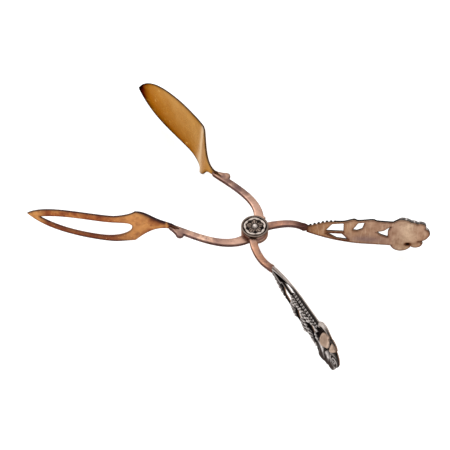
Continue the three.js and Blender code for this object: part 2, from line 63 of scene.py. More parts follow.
# Pivot stack, from the pin's tail up, and the two halves.
REST_OPENING = 51.9
TAIL_RADIUS, TAIL_TOP, TAIL_ROUND = 2.6, 0.6, 0.15
SHANK_RADIUS = 1.35
WASHER_RADIUS, WASHER_TOP = 4.6, 1.4
WASHER_ROUND_LOW, WASHER_ROUND_HIGH = 0.2, 0.15
LOWER_ARM_MIDDLE = 2.45
UPPER_ARM_MIDDLE = 4.85
HANDLE_SET_OVER = 1.2
HUB_RADIUS = 6.3
EYE_ROUND = 0.35
BORE_RADIUS = 1.8
CAP_RADIUS, CAP_BORE = 6.4, 1.4
CAP_BOTTOM, CAP_TOP = 6.2, 7.3
CAP_GROUND = CAP_TOP - 0.42
COLLAR_RADIUS, COLLAR_TOP = 1.9, CAP_TOP - 0.2
COLLAR_DEPTH, COLLAR_SLOPE = 0.2, 0.1
BEAD_SEAT, BEAD_RADIUS, BEAD_RISE = 1.45, 1.16, 1.0
AXIS_RADIUS = 0.05

# Rosette's face: plain rim, scalloped ring, and petals with ridges.
ROSETTE_TURN = 28.0
ROSETTE_PETALS = 5
ROSETTE_RIM = 5.6
RING_OUTER, RING_SCALLOP = 4.65, 0.55
RING_INNER, RING_WAVE = 4.15, 0.22
RING_HEIGHT = 0.4
PETAL_INNER, PETAL_OUTER = 1.7, 3.9
PETAL_HEIGHT, RIDGE_HEIGHT = 0.12, 0.16
SOFT_STEP = 0.05

# Arms. The bars' ends past neck and junction have rows of distance, width and thickness.
ARM_THICKNESS = 2.1
ARM_WIDTH = 4.0
HUB_FLARE, HUB_FLARE_FADE = 3.0, 6
NECK = np.array([-38.5, -1.8])
NECK_WIDTH = 3.0
NECK_END = [(0.9, 2.4, 2.2), (1.5, 1.4, 2.0)]
BLADE_BOW = np.array([[-8.0, -13.2], [-24.0, -6.7]])
NECK_HEADING = (NECK - BLADE_BOW[1]) / np.linalg.norm(NECK - BLADE_BOW[1])
JUNCTION = np.array([22.6, 5.0])
JUNCTION_WIDTH = 3.1
JUNCTION_SWELL = [2.3, 2.6, 3.0]
JUNCTION_END = [(0.6, 2.6, 3.3), (1.2, 1.8, 3.3), (2.0, 1.0, 2.6)]
HANDLE_BOW = np.array([[5.2, 5.8], [14.0, 8.2]])
HANDLE_ANGLE = math.radians(3.6)
HANDLE_HEADING = np.array([math.cos(HANDLE_ANGLE), math.sin(HANDLE_ANGLE)])
LOBE_RADIUS = 2.0
LOBE_FROM_NECK = 5.0
LOBE_STAND_OFF = 2.1
LUG_ANGLE = 64.0
LUG_REACH, LUG_OVERLAP = 2.3, 1.2
LUG_WIDTH, LUG_ROUND = 1.6, 0.5
LUG_HANG, LUG_HEEL = 1.8, 0.3

# Wear, a painted shadow and a shine that differ between the halves: shares, a start, and a place with its
# reach.
SOLDER = {"lower": 1.0, "upper": 0.25}
EYE_SHADOW = {"lower": 0.5, "upper": 0.1}
TARNISH = {"lower": 0.6, "upper": 0.75}
TARNISH_PLACE = {"lower": (5.5, 3.0), "upper": (14.0, 5.5)}
BLUSH = {"lower": 0.6, "upper": 0.7}
DULL_FROM = {"lower": 8.0, "upper": 18.0}
RIM_SOIL = {"lower": 0.9, "upper": 0.0}
RIM_SHINE = {"lower": 0.0, "upper": 0.85}
ROSE_RIM_SOIL = {"lower": 0.0, "upper": 0.7}

# Blades: their plan, and outlines in distance from the fold and half height, as in the solids.
PLATE = 1.0
TANG_LENGTH, TANG_INSET = 4.0, 0.15
RISER_LENGTH, RISER_LEAD = 17.6, 5.0
FOLD = np.array([NECK[0] - RISER_LENGTH, -4.0])
FOLD_APPROACH, FOLD_LEAVE = (6.5, 2.4), (-4.0, -0.5)
BELLY = np.array([FOLD[0] - 13.0, -5.4])
BELLY_LEAD_IN, BELLY_LEAD_OUT = 5.0, 11.0
TIP_GAP, TIP_LEAD, TIP_LEAD_OFFSET = 0.2, 15.0, 3.6
WAIST_FROM_FOLD = 9.0

# The foot is the edge next to the table: the way it lies in height, and where its painted shade starts.
# Shares of darkening at rim, inner rim, tip, foot and riser are painted shade; the fold's share is a painted
# highlight.
SPATULA = dict(
    length=55.2, tip_lead=(46.5, 14.0), lift=(-1.9, 4.3), fold_shift=1.6, fold_lean=0.135,
    upper=dict(root=1.5, riser=(-7.4, 16.2), corner=(0.5, 19.1), sag=1.0, waist=13.8, side=15.4),
    lower=dict(root=2.2, riser=(-8.0, 15.0), corner=(-2.6, 16.9), sag=0.2, waist=14.6, side=14.8),
    foot=(1, 0.0), foot_soil=0.85, rim_soil=0.75, inner_soil=1.0, tip_soil=0.7, riser_shade=0.0,
    tone_and_shade_rise=0.026, tip_wear=0.0, fold_highlight=0.75, fold_highlight_width=1.9, collar=0.0,
)
LOOP = dict(
    length=51.5, tip_lead=(43.0, 8.2), lift=(-0.5, 0.7), fold_shift=0.0, fold_lean=0.0,
    upper=dict(root=2.8, riser=(-7.2, 10.9), corner=(-0.6, 12.4), sag=0.3, waist=9.1, side=9.3),
    lower=dict(root=1.05, riser=(-4.6, 4.4), corner=(-0.2, 8.3), sag=0.0, waist=9.2, side=9.0),
    foot=(-1, 6.5), foot_soil=0.6, rim_soil=0.95, inner_soil=0.1, tip_soil=0.0, riser_shade=1.0,
    tone_and_shade_rise=-0.06, tip_wear=0.8, fold_highlight=0.6, fold_highlight_width=6.0, collar=0.8,
)
LOOP_OPENING = dict(
    start=(1.0, 2.0), high_turn=5.4, low_turn=-2.0, shoulder=6.2, widest=16.5, end=45.2,
    half=5.0, drop=0.4, taper=0.65,
)

# Handles, in distance along them and height.
GROUND = 0.4
BACK_NEAR, BACK_FAR = -0.65, -0.15
BACK_INSET = 0.3
HANDLE_LENGTH = 59.0
STRETCH = {"lower": 1.0, "upper": 1.04}
LEAFY_EDGE = [
    (1.2, 1.2), (5, 3.0), (11, 5.2), (18, 5.7), (22.8, 7.6), (25.2, 6.8), (31.6, 7.9), (34.2, 7.0), (44, 6.6),
]
PLAIN_EDGE = [(44, -10.4), (34, -10.2), (24, -9.8), (14, -7.9), (6, -5.2), (1.2, -3.1)]
PIERCINGS = [
    [(10.2, -1.1), (12.9, 3.6), (18.2, 4.5), (18.4, -1.6), (10.7, -1.6)],
    [(10.6, -3.0), (17.8, -3.1), (20.9, -7.4), (15.6, -6.6)],
    [(22.6, -0.2), (25.0, 5.1), (28.0, 5.7), (27.0, 0.9), (24.7, -0.5)],
    [(33.7, -0.8), (37.1, 0.3), (40.5, 3.8), (39.0, 0.2), (39.2, -4.2), (36.2, -2.9)],
]
ROSE_LOBES = [
    (45.5, 3.3, 5.6), (50.2, 4.4, 2.9), (53.8, 3.8, 2.8),
    (54.2, -1.2, 4.6), (52.9, -8.2, 3.1), (45.7, -9.2, 5.0),
]
ROSE_MIDDLE = (48.8, -2.6, 5.6)
ROSE_START = 41.5
ROSE_DISH, ROSE_DISH_RADIUS = 1.2, 9.5
VENT = (48.8, -7.6, 1.0)

# Relief of the leafy part. Leaves have stalk, tip, width and height. Teeth fade in and out over their run.
FRONT_EDGE, LEAF_SLOPE = 0.35, 1.1
TOOTH_PITCH, TOOTH_DEPTH, TOOTH_CUT = 1.9, 1.6, 1.2
TEETH_START, TEETH_FULL, TEETH_WANE, TEETH_END = 1.5, 3.0, 13.0, 15.0
LEAVES = [
    ((1.6, 0.6), (14.5, 5.0), 1.5, 0.8),
    ((17.8, 0.6), (24.4, 6.9), 2.1, 0.9),
    ((25.8, 1.0), (33.6, 7.2), 2.4, 1.0),
    ((33.8, 2.2), (42.4, 5.6), 2.2, 1.0),
    ((18.6, -3.0), (27.6, -2.2), 2.0, 0.9),
    ((26.4, -3.6), (35.0, -2.6), 1.9, 0.9),
    ((33.4, -5.2), (42.0, -5.0), 1.7, 0.9),
    ((19.0, -0.4), (27.0, 1.6), 1.3, 0.8),
    ((27.4, -0.6), (35.0, 3.4), 1.4, 0.8),
    ((36.4, -4.4), (43.0, 1.0), 1.2, 0.8),
]
VEIN_PITCH = 1.6
STEM = [(2.5, -0.6), (6, -0.6), (9.5, -0.9), (11.5, -2.5), (18, -2.5)]
STEM_WIDTH, STEM_HEIGHT = 0.7, 0.5
GRAINS_LOW, GRAINS_HIGH = (19.5, -8.6), (41, -5.2)
GRAIN_PITCH, GRAIN_RADIUS, GRAIN_HEIGHT = 1.6, 0.72, 0.55

# Relief of the rose. Petals have corners along the handle, in height and in how far they stand out.
ROSE_EDGE, ROSE_SLOPE = 1.2, 2.2
SMOOTH_PETALS = [
    [(44.6, -4.6, 1.9), (45.3, -8.6, 1.0), (48.6, -12.2, 0.7), (50.8, -10.8, 0.8), (51.2, -8.2, 1.3),
     (51.4, -5.6, 2.1), (49.8, -4.2, 2.4), (46.4, -2.4, 2.2)],
    [(52.9, -10.9, 0.6), (55.2, -10.4, 0.5), (56.3, -8.6, 0.7), (56.9, -6.2, 0.9), (55.2, -5.8, 1.6),
     (53.0, -6.0, 2.3), (52.8, -8.6, 1.7)],
]
SIDE_PETALS = [
    [(42.4, 0.6, 0.9), (44.8, -1.6, 1.9), (46.4, -0.9, 2.0), (49.2, 4.2, 1.7), (48.8, 6.4, 1.0),
     (45.8, 8.2, 0.6), (42.2, 6.4, 0.6)],
    [(50.0, -1.8, 1.9), (51.4, -1.8, 2.0), (52.9, 3.6, 1.5), (52.4, 6.4, 0.9), (50.8, 6.6, 0.9),
     (49.9, 2.0, 1.6)],
    [(52.6, -4.6, 1.3), (55.5, -5.4, 1.0), (58.0, -3.6, 0.8), (58.6, -1.0, 0.7), (57.8, 1.8, 0.7),
     (55.6, 6.0, 0.7), (53.4, 6.0, 0.8), (52.8, 0.0, 1.2)],
]
HEART, HEART_RADIUS, HEART_STRETCH = (56.0, -0.8), 3.0, (1, 1.25)
COIL_PITCH = 1.45
LIP_RUN, LIP_SIDE = 0.8, -4.0

# Edges of the plates from front to back: inset and share of the depth. Then the spacing of their points.
BLADE_RIM = [(0.4, 1.0), (0.15, 0.85), (0.0, 0.58), (0.0, 0.42), (0.15, 0.15), (0.4, 0.0)]
LOBE_RIM = [(0.75, 1.0), (0.35, 0.93), (0.1, 0.78), (0.0, 0.5), (0.1, 0.22), (0.35, 0.07), (0.75, 0.0)]
LUG_RIM = [(0.45, 1.0), (0.15, 0.9), (0.0, 0.7), (0.0, 0.3), (0.15, 0.1), (0.45, 0.0)]
FRONT_RIM = [(0.15, 1.0), (0.03, 0.9), (0.0, 0.7), (0.0, 0.0)]
BACK_RIM = [(0.12, 1.0), (0.03, 0.8), (0.0, 0.5), (0.03, 0.2), (0.12, 0.0)]
BLADE_MESH, LOBE_MESH, LUG_MESH, FRONT_MESH, BACK_MESH = 0.5, 0.3, 0.25, 0.24, 0.5

# Where each half and each handle sits.
LOWER = Matrix.Translation((0, 0, LOWER_ARM_MIDDLE))
UPPER = (
    Matrix.Translation((0, 0, UPPER_ARM_MIDDLE))
    @ Matrix.Rotation(math.radians(-REST_OPENING), 4, "Z")
    @ Matrix.Rotation(math.pi, 4, "X")
)
HALVES = {"lower": LOWER, "upper": UPPER}
HANDLES = {
    side: half
    @ Matrix.Translation((JUNCTION[0], JUNCTION[1], HANDLE_SET_OVER))
    @ Matrix.Rotation(HANDLE_ANGLE, 4, "Z")
    @ Matrix.Diagonal((STRETCH[side], 1, 1, 1))
    for side, half in HALVES.items()
}


# Falloffs

def fade(value, start, full):
    """Share that rises evenly from 0 at start to 1 at full, either way."""
    return np.clip((value - start) / (full - start), 0, 1)


def eased(share):
    """The same share with a soft start and end."""
    return share * share * (3 - 2 * share)


def bell(value, place, reach):
    """1 at a place, falling away on both sides."""
    return np.exp(-((value - place) / reach) ** 2)


def dome(offset):
    """Round cross-section: 1 in the middle, 0 at an offset of 1 and beyond."""
    return np.clip(1 - offset ** 2, 0, 1) ** 0.5


# Curves and outlines

def bezier(start, near, far, end, steps):
    """Points of a cubic curve."""
    t = np.linspace(0, 1, steps + 1)[:, None]
    start, near, far, end = (np.asarray(p, float) for p in (start, near, far, end))
    return (1 - t) ** 3 * start + 3 * (1 - t) ** 2 * t * near + 3 * (1 - t) * t ** 2 * far + t ** 3 * end


def spline(points, steps):
    """Smooth row of points through a few given ones."""
    p = np.asarray(points, float)
    p = np.vstack([p[:1], p, p[-1:]])
    at = np.linspace(0, len(points) - 1, steps + 1)
    i = np.minimum(at.astype(int), len(points) - 2)
    t = (at - i)[:, None]
    a, b, c, d = p[i], p[i + 1], p[i + 2], p[i + 3]
    out, back = (c - a) / 2, (d - b) / 2
    return (2 * b - 2 * c + out + back) * t ** 3 + (3 * c - 3 * b - 2 * out - back) * t ** 2 + out * t + b


def circle(x, y, radius, sides=48):
    """Round outline, anticlockwise."""
    a = np.linspace(0, 2 * math.pi, sides, endpoint=False)
    return np.column_stack([x + radius * np.cos(a), y + radius * np.sin(a)])


def resample(loop, spacing):
    """The same closed outline with its points evenly spaced."""
    closed = np.vstack([loop, loop[:1]])
    run = np.concatenate([[0], np.cumsum(np.linalg.norm(np.diff(closed, axis=0), axis=1))])
    count = max(8, int(run[-1] / spacing))
    at = np.linspace(0, run[-1], count, endpoint=False)
    return np.column_stack([np.interp(at, run, closed[:, k]) for k in range(2)])


def area(loop):
    """Signed area of a closed outline, positive when anticlockwise."""
    x, y = loop.T
    return 0.5 * np.sum(x * np.roll(y, -1) - np.roll(x, -1) * y)


def unit(rows):
    """The same vectors, made one unit long."""
    return rows / np.linalg.norm(rows, axis=1)[:, None]


def inward(loop):
    """Unit vectors that point into the material from each point of an outline."""
    along = unit(np.roll(loop, -1, axis=0) - np.roll(loop, 1, axis=0))
    return np.column_stack([-along[:, 1], along[:, 0]])


def within(points, loops):
    """True for points inside an odd number of the outlines."""
    crossings = np.zeros(len(points), int)
    for loop in loops:
        for (ax, ay), (bx, by) in zip(loop, np.roll(loop, -1, axis=0)):
            spans = (points[:, 1] < ay) != (points[:, 1] < by)
            if ay != by:
                crossings += spans & (points[:, 0] < ax + (points[:, 1] - ay) * (bx - ax) / (by - ay))
    return crossings % 2 == 1


def distance(points, path, closed=False):
    """Distance of each point from a path."""
    path = np.asarray(path, float)
    ends = np.vstack([path, path[:1]]) if closed else path
    nearest = np.full(len(points), np.inf)
    for start, end in zip(ends, ends[1:]):
        step = end - start
        t = np.clip((points - start) @ step / max(step @ step, 1e-12), 0, 1)
        nearest = np.minimum(nearest, np.linalg.norm(points - start - t[:, None] * step, axis=1))
    return nearest


def ring_edges(loops):
    """Edges of closed outlines whose points stand one after another in a list."""
    edges, first = [], 0
    for loop in loops:
        edges += [(first + i, first + (i + 1) % len(loop)) for i in range(len(loop))]
        first += len(loop)
    return edges


def union(loops):
    """Outer outline of overlapping outlines."""
    corners = [Vector(p) for loop in loops for p in loop]
    made, _, faces, *_ = delaunay_2d_cdt(corners, ring_edges(loops), [], 0, 1e-5)
    made = np.array([tuple(p) for p in made])
    middles = np.array([made[list(f)].mean(axis=0) for f in faces])
    kept = np.any([within(middles, [loop]) for loop in loops], axis=0)
    inner = {edge for face, keep in zip(faces, kept) if keep for edge in zip(face, (*face[1:], face[0]))}
    after = {a: b for a, b in inner if (b, a) not in inner}
    rings = []
    while after:
        ring = [next(iter(after))]
        while ring[-1] in after:
            ring.append(after.pop(ring[-1]))
        rings.append(made[ring[:-1]])
    return max(rings, key=lambda r: abs(area(r)))


# Meshes: each is a pair of points and faces, with values at its points for the materials

def plate(outer, holes, rim, spacing, thickness):
    """Closed plate. rim lists (inset, share of the depth) from front to back.

    thickness is a number, or gives the height from plan points and their distance from the edge.
    Returns plan points, heights, faces, distances from the edge and the number of points on the front.
    """
    loops = [resample(loop, spacing) for loop in (outer, *holes)]
    for i, loop in enumerate(loops):
        if (area(loop) > 0) != (i == 0):
            loops[i] = loop[::-1]
    rings = [np.vstack([loop + inset * inward(loop) for loop in loops]) for inset, _ in rim]
    edge_loops = np.split(rings[0], np.cumsum([len(loop) for loop in loops])[:-1])
    low, high = rings[0].min(axis=0), rings[0].max(axis=0)
    u, v = np.meshgrid(np.arange(low[0], high[0], spacing), np.arange(low[1], high[1], spacing))
    u[1::2] += spacing / 2
    fill = np.column_stack([u.ravel(), v.ravel()])
    fill = fill[within(fill, edge_loops)]
    gap = np.min([distance(fill, loop, closed=True) for loop in edge_loops], axis=0)
    clear = gap > 0.6 * spacing
    fill, gap = fill[clear], gap[clear]

    border, edges = len(rings[0]), ring_edges(loops)
    face_points = np.vstack([rings[0], fill])
    _, _, faces, sources, *_ = delaunay_2d_cdt([Vector(p) for p in face_points], edges, [], 0, 1e-6)
    source = [s[0] if s else 0 for s in sources]
    faces = np.array([[source[i] for i in f] for f in faces])
    faces = faces[within(face_points[faces].mean(axis=1), edge_loops)]

    count = len(face_points)
    back_points = np.vstack([rings[-1], fill])
    plan = np.vstack([face_points, back_points, *rings[1:-1]])
    share = np.concatenate([np.full(count, rim[0][1]), np.full(count, rim[-1][1])]
                           + [np.full(border, s) for _, s in rim[1:-1]])
    starts = [0] + [2 * count + k * border for k in range(len(rim) - 2)] + [count]
    sides = []
    for near, far in zip(starts, starts[1:]):
        sides += [(near + a, near + b, far + b, far + a) for a, b in edges]
    all_faces = [tuple(f) for f in faces] + [tuple(f[::-1] + count) for f in faces] + sides
    closeness = np.zeros(len(plan))
    closeness[border:count] = closeness[count + border:2 * count] = gap
    height = thickness(plan, closeness) if callable(thickness) else thickness
    return plan, height * share, all_faces, closeness, count


def skin(rows, wrap=False):
    """Closed surface through rows of points, each row a ring. Wrapped rows close on themselves."""
    count, ring = rows.shape[:2]
    faces = []
    for r in range(count if wrap else count - 1):
        here, there = r * ring, (r + 1) % count * ring
        faces += [(here + c, here + (c + 1) % ring, there + (c + 1) % ring, there + c) for c in range(ring)]
    if not wrap:
        faces += [tuple(range(ring)), tuple((count - 1) * ring + c for c in range(ring))]
    return rows.reshape(-1, 3), faces


def lathe(profile, sides=72, wrap=True):
    """Surface of revolution about Z through (radius, height) points. A height may vary round its ring."""
    a = np.linspace(0, 2 * math.pi, sides, endpoint=False)
    rows = [np.column_stack([r * np.cos(a), r * np.sin(a), np.full(sides, z)]) for r, z in profile]
    return skin(np.array(rows), wrap)


def bar(path, height, half_width, half_thickness, ring=32, squareness=5.0):
    """Bar with rounded edges along a path in plan."""
    along = unit(np.gradient(path, axis=0))
    across = np.column_stack([-along[:, 1], along[:, 0]])
    a = np.linspace(0, 2 * math.pi, ring, endpoint=False)
    side = np.sign(np.cos(a)) * np.abs(np.cos(a)) ** (2 / squareness)
    rise = np.sign(np.sin(a)) * np.abs(np.sin(a)) ** (2 / squareness)
    rows = np.empty((len(path), ring, 3))
    rows[:, :, :2] = path[:, None] + across[:, None] * (side * half_width[:, None])[:, :, None]
    rows[:, :, 2] = height[:, None] + rise * half_thickness[:, None]
    return skin(rows)


def joined(*parts):
    """Several surfaces as one list of points and faces."""
    points, faces, first = [], [], 0
    for part_points, part_faces in parts:
        points.append(part_points)
        faces += [tuple(first + i for i in f) for f in part_faces]
        first += len(part_points)
    return np.vstack(points), faces


def add_object(name, data):
    """Object in the scene with a given mesh, light or camera."""
    made = bpy.data.objects.new(name, data)
    bpy.context.scene.collection.objects.link(made)
    return made


def add_piece(name, points, faces, place, body, node, slot, material, **values):
    """Makes the object, puts it on its body in place of a CAD node and gives it its material."""
    mesh = bpy.data.meshes.new(name)
    placed = [(place @ Vector(p)) * MM for p in points]
    mesh.from_pydata(placed, [], [list(map(int, f)) for f in faces])
    for key, value in values.items():
        at_points = np.full(len(points), value, np.float32)
        mesh.attributes.new(key, "FLOAT", "POINT").data.foreach_set("value", at_points)
    shell = bmesh.new()
    shell.from_mesh(mesh)
    bmesh.ops.recalc_face_normals(shell, faces=shell.faces)
    shell.to_mesh(mesh)
    shell.free()
    mesh.shade_smooth()
    mesh.materials.append(material)
    piece = add_object(name, mesh)
    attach(piece, body)
    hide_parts(node)


# Materials

def srgb(red, green, blue):
    """Linear colour from the 0 to 255 values seen in a picture."""
    return tuple(((c / 255 + 0.055) / 1.055) ** 2.4 for c in (red, green, blue))


def new_material(name, glancing, dulled=False):
    """Metal with a shader to wire up. glancing tints it edge-on, and is dulled by the soil and painted shade
    where asked.
    """
    material = bpy.data.materials.new(name)
    material.use_nodes = True
    tree = material.node_tree
    shader = tree.nodes["Principled BSDF"]
    shader.inputs["Metallic"].default_value = 1.0
    shader.inputs["Specular Tint"].default_value = (*glancing, 1)
    if dulled:
        tint = blend(tree, "soil", glancing, (0.05, 0.03, 0.03))
        tree.links.new(tint, shader.inputs["Specular Tint"])
    return material, tree, shader


def noise(tree, size_mm, detail=4.0, stretch=(1, 1, 1)):
    """Noise with features of about the given size, fixed to the object."""
    where = tree.nodes.new("ShaderNodeTexCoord")
    mapping = tree.nodes.new("ShaderNodeMapping")
    mapping.inputs["Scale"].default_value = stretch
    texture = tree.nodes.new("ShaderNodeTexNoise")
    texture.inputs["Scale"].default_value = 1 / (size_mm * MM)
    texture.inputs["Detail"].default_value = detail
    tree.links.new(where.outputs["Object"], mapping.inputs["Vector"])
    tree.links.new(mapping.outputs["Vector"], texture.inputs["Vector"])
    return texture.outputs["Fac"]


def socket_of(tree, source):
    """A socket as it is, or for a name the value of that name stored at the mesh's points."""
    if not isinstance(source, str):
        return source
    node = tree.nodes.new("ShaderNodeAttribute")
    node.attribute_name = source
    return node.outputs["Fac"]


def ramp(tree, source, *stops):
    """Ramp over stops, each a position and a grey share or a colour in 0 to 255 values."""
    node = tree.nodes.new("ShaderNodeValToRGB")
    elements = node.color_ramp.elements
    while len(elements) < len(stops):
        elements.new(0.5)
    for element, (position, colour) in zip(elements, stops):
        element.position = position
        element.color = (*srgb(*colour), 1) if isinstance(colour, tuple) else (colour, colour, colour, 1)
    tree.links.new(socket_of(tree, source), node.inputs["Fac"])
    return node.outputs["Color"]


def patches(tree, size_mm, between, most, detail=4.0, stretch=(1, 1, 1)):
    """Patches of noise that grow from nothing to the most over the given part of its range."""
    return ramp(tree, noise(tree, size_mm, detail, stretch), (between[0], 0.0), (between[1], most))


def blend(tree, share, low, high):
    """Mix of two colours, each given as values or as a socket."""
    node = tree.nodes.new("ShaderNodeMix")
    node.data_type = "RGBA"
    factor, first, second = node.inputs[0], node.inputs[6], node.inputs[7]
    tree.links.new(socket_of(tree, share), factor)
    for source, socket in ((low, first), (high, second)):
        if isinstance(source, tuple):
            socket.default_value = (*source, 1)
        else:
            tree.links.new(source, socket)
    return node.outputs[2]


def layered(tree, metal, *layers):
    """Metal under layers, each a share and a colour in 0 to 255 values."""
    for share, colour in layers:
        metal = blend(tree, share, metal, srgb(*colour))
    return metal


def finish_surface(tree, shader, colour, smoothest, roughest, grain_mm, grain_depth):
    """Wires colour, patchy roughness and fine surface grain into the shader."""
    tree.links.new(colour, shader.inputs["Base Color"])
    patchy = noise(tree, 3.0)
    tree.links.new(ramp(tree, patchy, (0.3, smoothest), (0.7, roughest)), shader.inputs["Roughness"])
    bump = tree.nodes.new("ShaderNodeBump")
    bump.inputs["Strength"].default_value = 0.35
    bump.inputs["Distance"].default_value = grain_depth * MM
    tree.links.new(noise(tree, grain_mm, 6.0), bump.inputs["Height"])
    tree.links.new(bump.outputs["Normal"], shader.inputs["Normal"])


def worn_silver_plate():
    """Arms: faces worn to pinkish metal, coppery by the handles and tarnished in places, with painted shade
    on the sides, dark joints and a painted shadow round the eye.
    """
    material, tree, shader = new_material("worn_silver_plate", srgb(220, 190, 175))
    face = ramp(tree, noise(tree, 5.0), (0.38, (128, 98, 88)), (0.5, (176, 138, 118)),
                (0.62, (212, 174, 150)))
    face = layered(tree, face, ("copper", (174, 123, 96)), ("blush", (208, 166, 146)))
    # Painted shade: the dark colour of the bars' sides, against the lighter flat faces.
    side = ramp(tree, noise(tree, 3.0), (0.35, (46, 32, 31)), (0.65, (92, 64, 57)))
    cloud = patches(tree, 2.4, (0.5, 0.66), 0.7, detail=6.0)
    cloud = blend(tree, "blush", cloud, (0.0, 0.0, 0.0))
    specks_and_glints = patches(tree, 0.7, (0.6, 0.72), 0.45)
    metal = layered(tree, blend(tree, "face", side, face), (cloud, (122, 94, 92)), ("tarnish", (98, 76, 76)),
                    (specks_and_glints, (84, 62, 58)), ("soil", (62, 36, 32)))
    finish_surface(tree, shader, metal, smoothest=0.26, roughest=0.42, grain_mm=0.5, grain_depth=0.05)
    return material


def gilt():
    """Spatula: smooth gilding with painted shade that browns it towards tip and rim, and a painted highlight
    along the fold.
    """
    material, tree, shader = new_material("gilt", srgb(220, 196, 165), dulled=True)
    # Painted shade: darker and browner towards the tip and the foot edge.
    metal = ramp(tree, "tone_and_shade", (0.0, (188, 144, 92)), (0.35, (172, 119, 64)),
                 (0.7, (150, 88, 40)), (1.0, (84, 46, 22)))
    cloud = patches(tree, 9.0, (0.4, 0.7), 0.4, detail=3.0)
    streak = patches(tree, 5.0, (0.55, 0.75), 0.4, detail=3.0, stretch=(0.3, 2.4, 2.4))
    # Painted glints: small bright specks.
    specks_and_glints = patches(tree, 2.2, (0.68, 0.75), 0.7)
    # The pale layer is a painted highlight along the fold; the soil layer is dirt at the neck and painted
    # shade on rim, tip and foot.
    metal = layered(tree, metal, (cloud, (150, 92, 46)), (streak, (200, 156, 92)), (specks_and_glints, (236, 196, 124)),
                    ("pale", (236, 218, 192)), ("soil", (54, 30, 18)))
    finish_surface(tree, shader, metal, smoothest=0.24, roughest=0.34, grain_mm=1.5, grain_depth=0.01)
    return material


def copper_gilt():
    """Loop: worn gilding over reddish metal with dark tarnish, darker towards the tip and along the lower
    bar, with painted shade on its rims and riser and a painted highlight by the fold.
    """
    material, tree, shader = new_material("copper_gilt", srgb(205, 155, 120), dulled=True)
    metal = ramp(tree, noise(tree, 5.0), (0.36, (124, 66, 44)), (0.5, (160, 98, 60)),
                 (0.64, (190, 132, 80)))
    cloud = patches(tree, 3.2, (0.5, 0.68), 0.5, detail=6.0)
    specks_and_glints = patches(tree, 0.9, (0.64, 0.74), 0.8)
    # The warm layer darkens towards the tip and the lower bar; the pale layer is a painted highlight by the
    # fold and wear at the tip and collar; the soil layer is dirt at the neck and painted shade on rims and
    # riser.
    metal = layered(tree, metal, ("tone_and_shade", (108, 60, 48)), ("pale", (204, 148, 92)), (cloud, (104, 58, 46)),
                    (specks_and_glints, (232, 178, 124)), ("soil", (54, 36, 37)))
    finish_surface(tree, shader, metal, smoothest=0.26, roughest=0.44, grain_mm=0.5, grain_depth=0.05)
    return material


def blackened_silver(name, glancing):
    """Relief: black in the recesses, rubbed bright on the high spots, bare pinkish metal on smooth forms."""
    material, tree, shader = new_material(name, glancing)
    # The rubbed value also carries painted glints along the rose's leafy edge.
    worked = ramp(tree, "rubbed", (0.08, (20, 17, 16)), (0.35, (66, 61, 59)),
                  (0.6, (138, 130, 126)), (0.9, (212, 204, 200)))
    smooth = ramp(tree, "rubbed", (0.08, (26, 21, 19)), (0.3, (112, 94, 82)),
                  (0.55, (180, 155, 137)), (0.95, (230, 212, 196)))
    grime = patches(tree, 0.8, (0.52, 0.7), 0.5, detail=5.0)
    metal = layered(tree, blend(tree, "bare", worked, smooth), (grime, (62, 57, 55)))
    finish_surface(tree, shader, metal, smoothest=0.26, roughest=0.44, grain_mm=0.35, grain_depth=0.04)
    return material


def worn_back():
    """Handle backs: smooth plate, golden by the arm and creamy on the rose, mottled and stained."""
    material, tree, shader = new_material("worn_back", srgb(190, 160, 140))
    metal = ramp(tree, "along", (0.0, (150, 106, 72)), (0.25, (166, 126, 94)),
                 (0.5, (168, 134, 110)), (0.68, (160, 126, 106)), (0.82, (192, 164, 138)),
                 (1.0, (148, 106, 84)))
    mottle = patches(tree, 4.0, (0.42, 0.66), 0.6, detail=6.0)
    brushed = patches(tree, 2.5, (0.5, 0.7), 0.4, stretch=(2.5, 2.5, 0.35))
    specks_and_glints = patches(tree, 0.8, (0.6, 0.74), 0.5)
    metal = layered(tree, metal, (mottle, (130, 96, 74)), (brushed, (208, 180, 154)),
                    ("stain", (118, 96, 96)), (specks_and_glints, (96, 66, 54)), ("soil", (78, 42, 28)),
                    ("shine", (206, 196, 189)))
    finish_surface(tree, shader, metal, smoothest=0.32, roughest=0.48, grain_mm=0.4, grain_depth=0.03)
    return material


# Blades

def blade_path():
    """Plan of tang, riser and blade, from the arm's end to the tip, with the sharp fold between them."""
    tip = np.array([FOLD[0] - SPATULA["length"], -TIP_GAP - PLATE / 2])
    riser = bezier(NECK, NECK + RISER_LEAD * NECK_HEADING, FOLD + FOLD_APPROACH, FOLD, 60)
    bow = bezier(FOLD, FOLD + FOLD_LEAVE, BELLY + (BELLY_LEAD_IN, 0), BELLY, 30)
    blade = bezier(BELLY, BELLY - (BELLY_LEAD_OUT, 0), (tip[0] + TIP_LEAD, -TIP_LEAD_OFFSET), tip, 60)
    return np.vstack([[NECK - TANG_LENGTH * NECK_HEADING], riser, bow[1:], blade[1:]])


def blade_edge(shape, side):
    """Half outline of a blade, from the arm's end to the tip."""
    edge = shape[side]
    corner = np.array(edge["corner"])
    waist = np.array([WAIST_FROM_FOLD, edge["waist"]])
    under = np.array([corner[0], edge["waist"]])
    near = corner + (waist - corner) / 3
    far = waist + (corner - waist) / 3
    root, length = edge["root"], shape["length"]
    return np.vstack([
        bezier((-RISER_LENGTH, root), (-RISER_LENGTH / 2, root), edge["riser"], corner, 30),
        bezier(corner, near + edge["sag"] * (under - near), far + edge["sag"] * (under - far), waist, 16)[1:],
        bezier(waist, ((waist[0] + length) / 2, edge["side"]), shape["tip_lead"], (length, 0), 40)[1:],
    ])


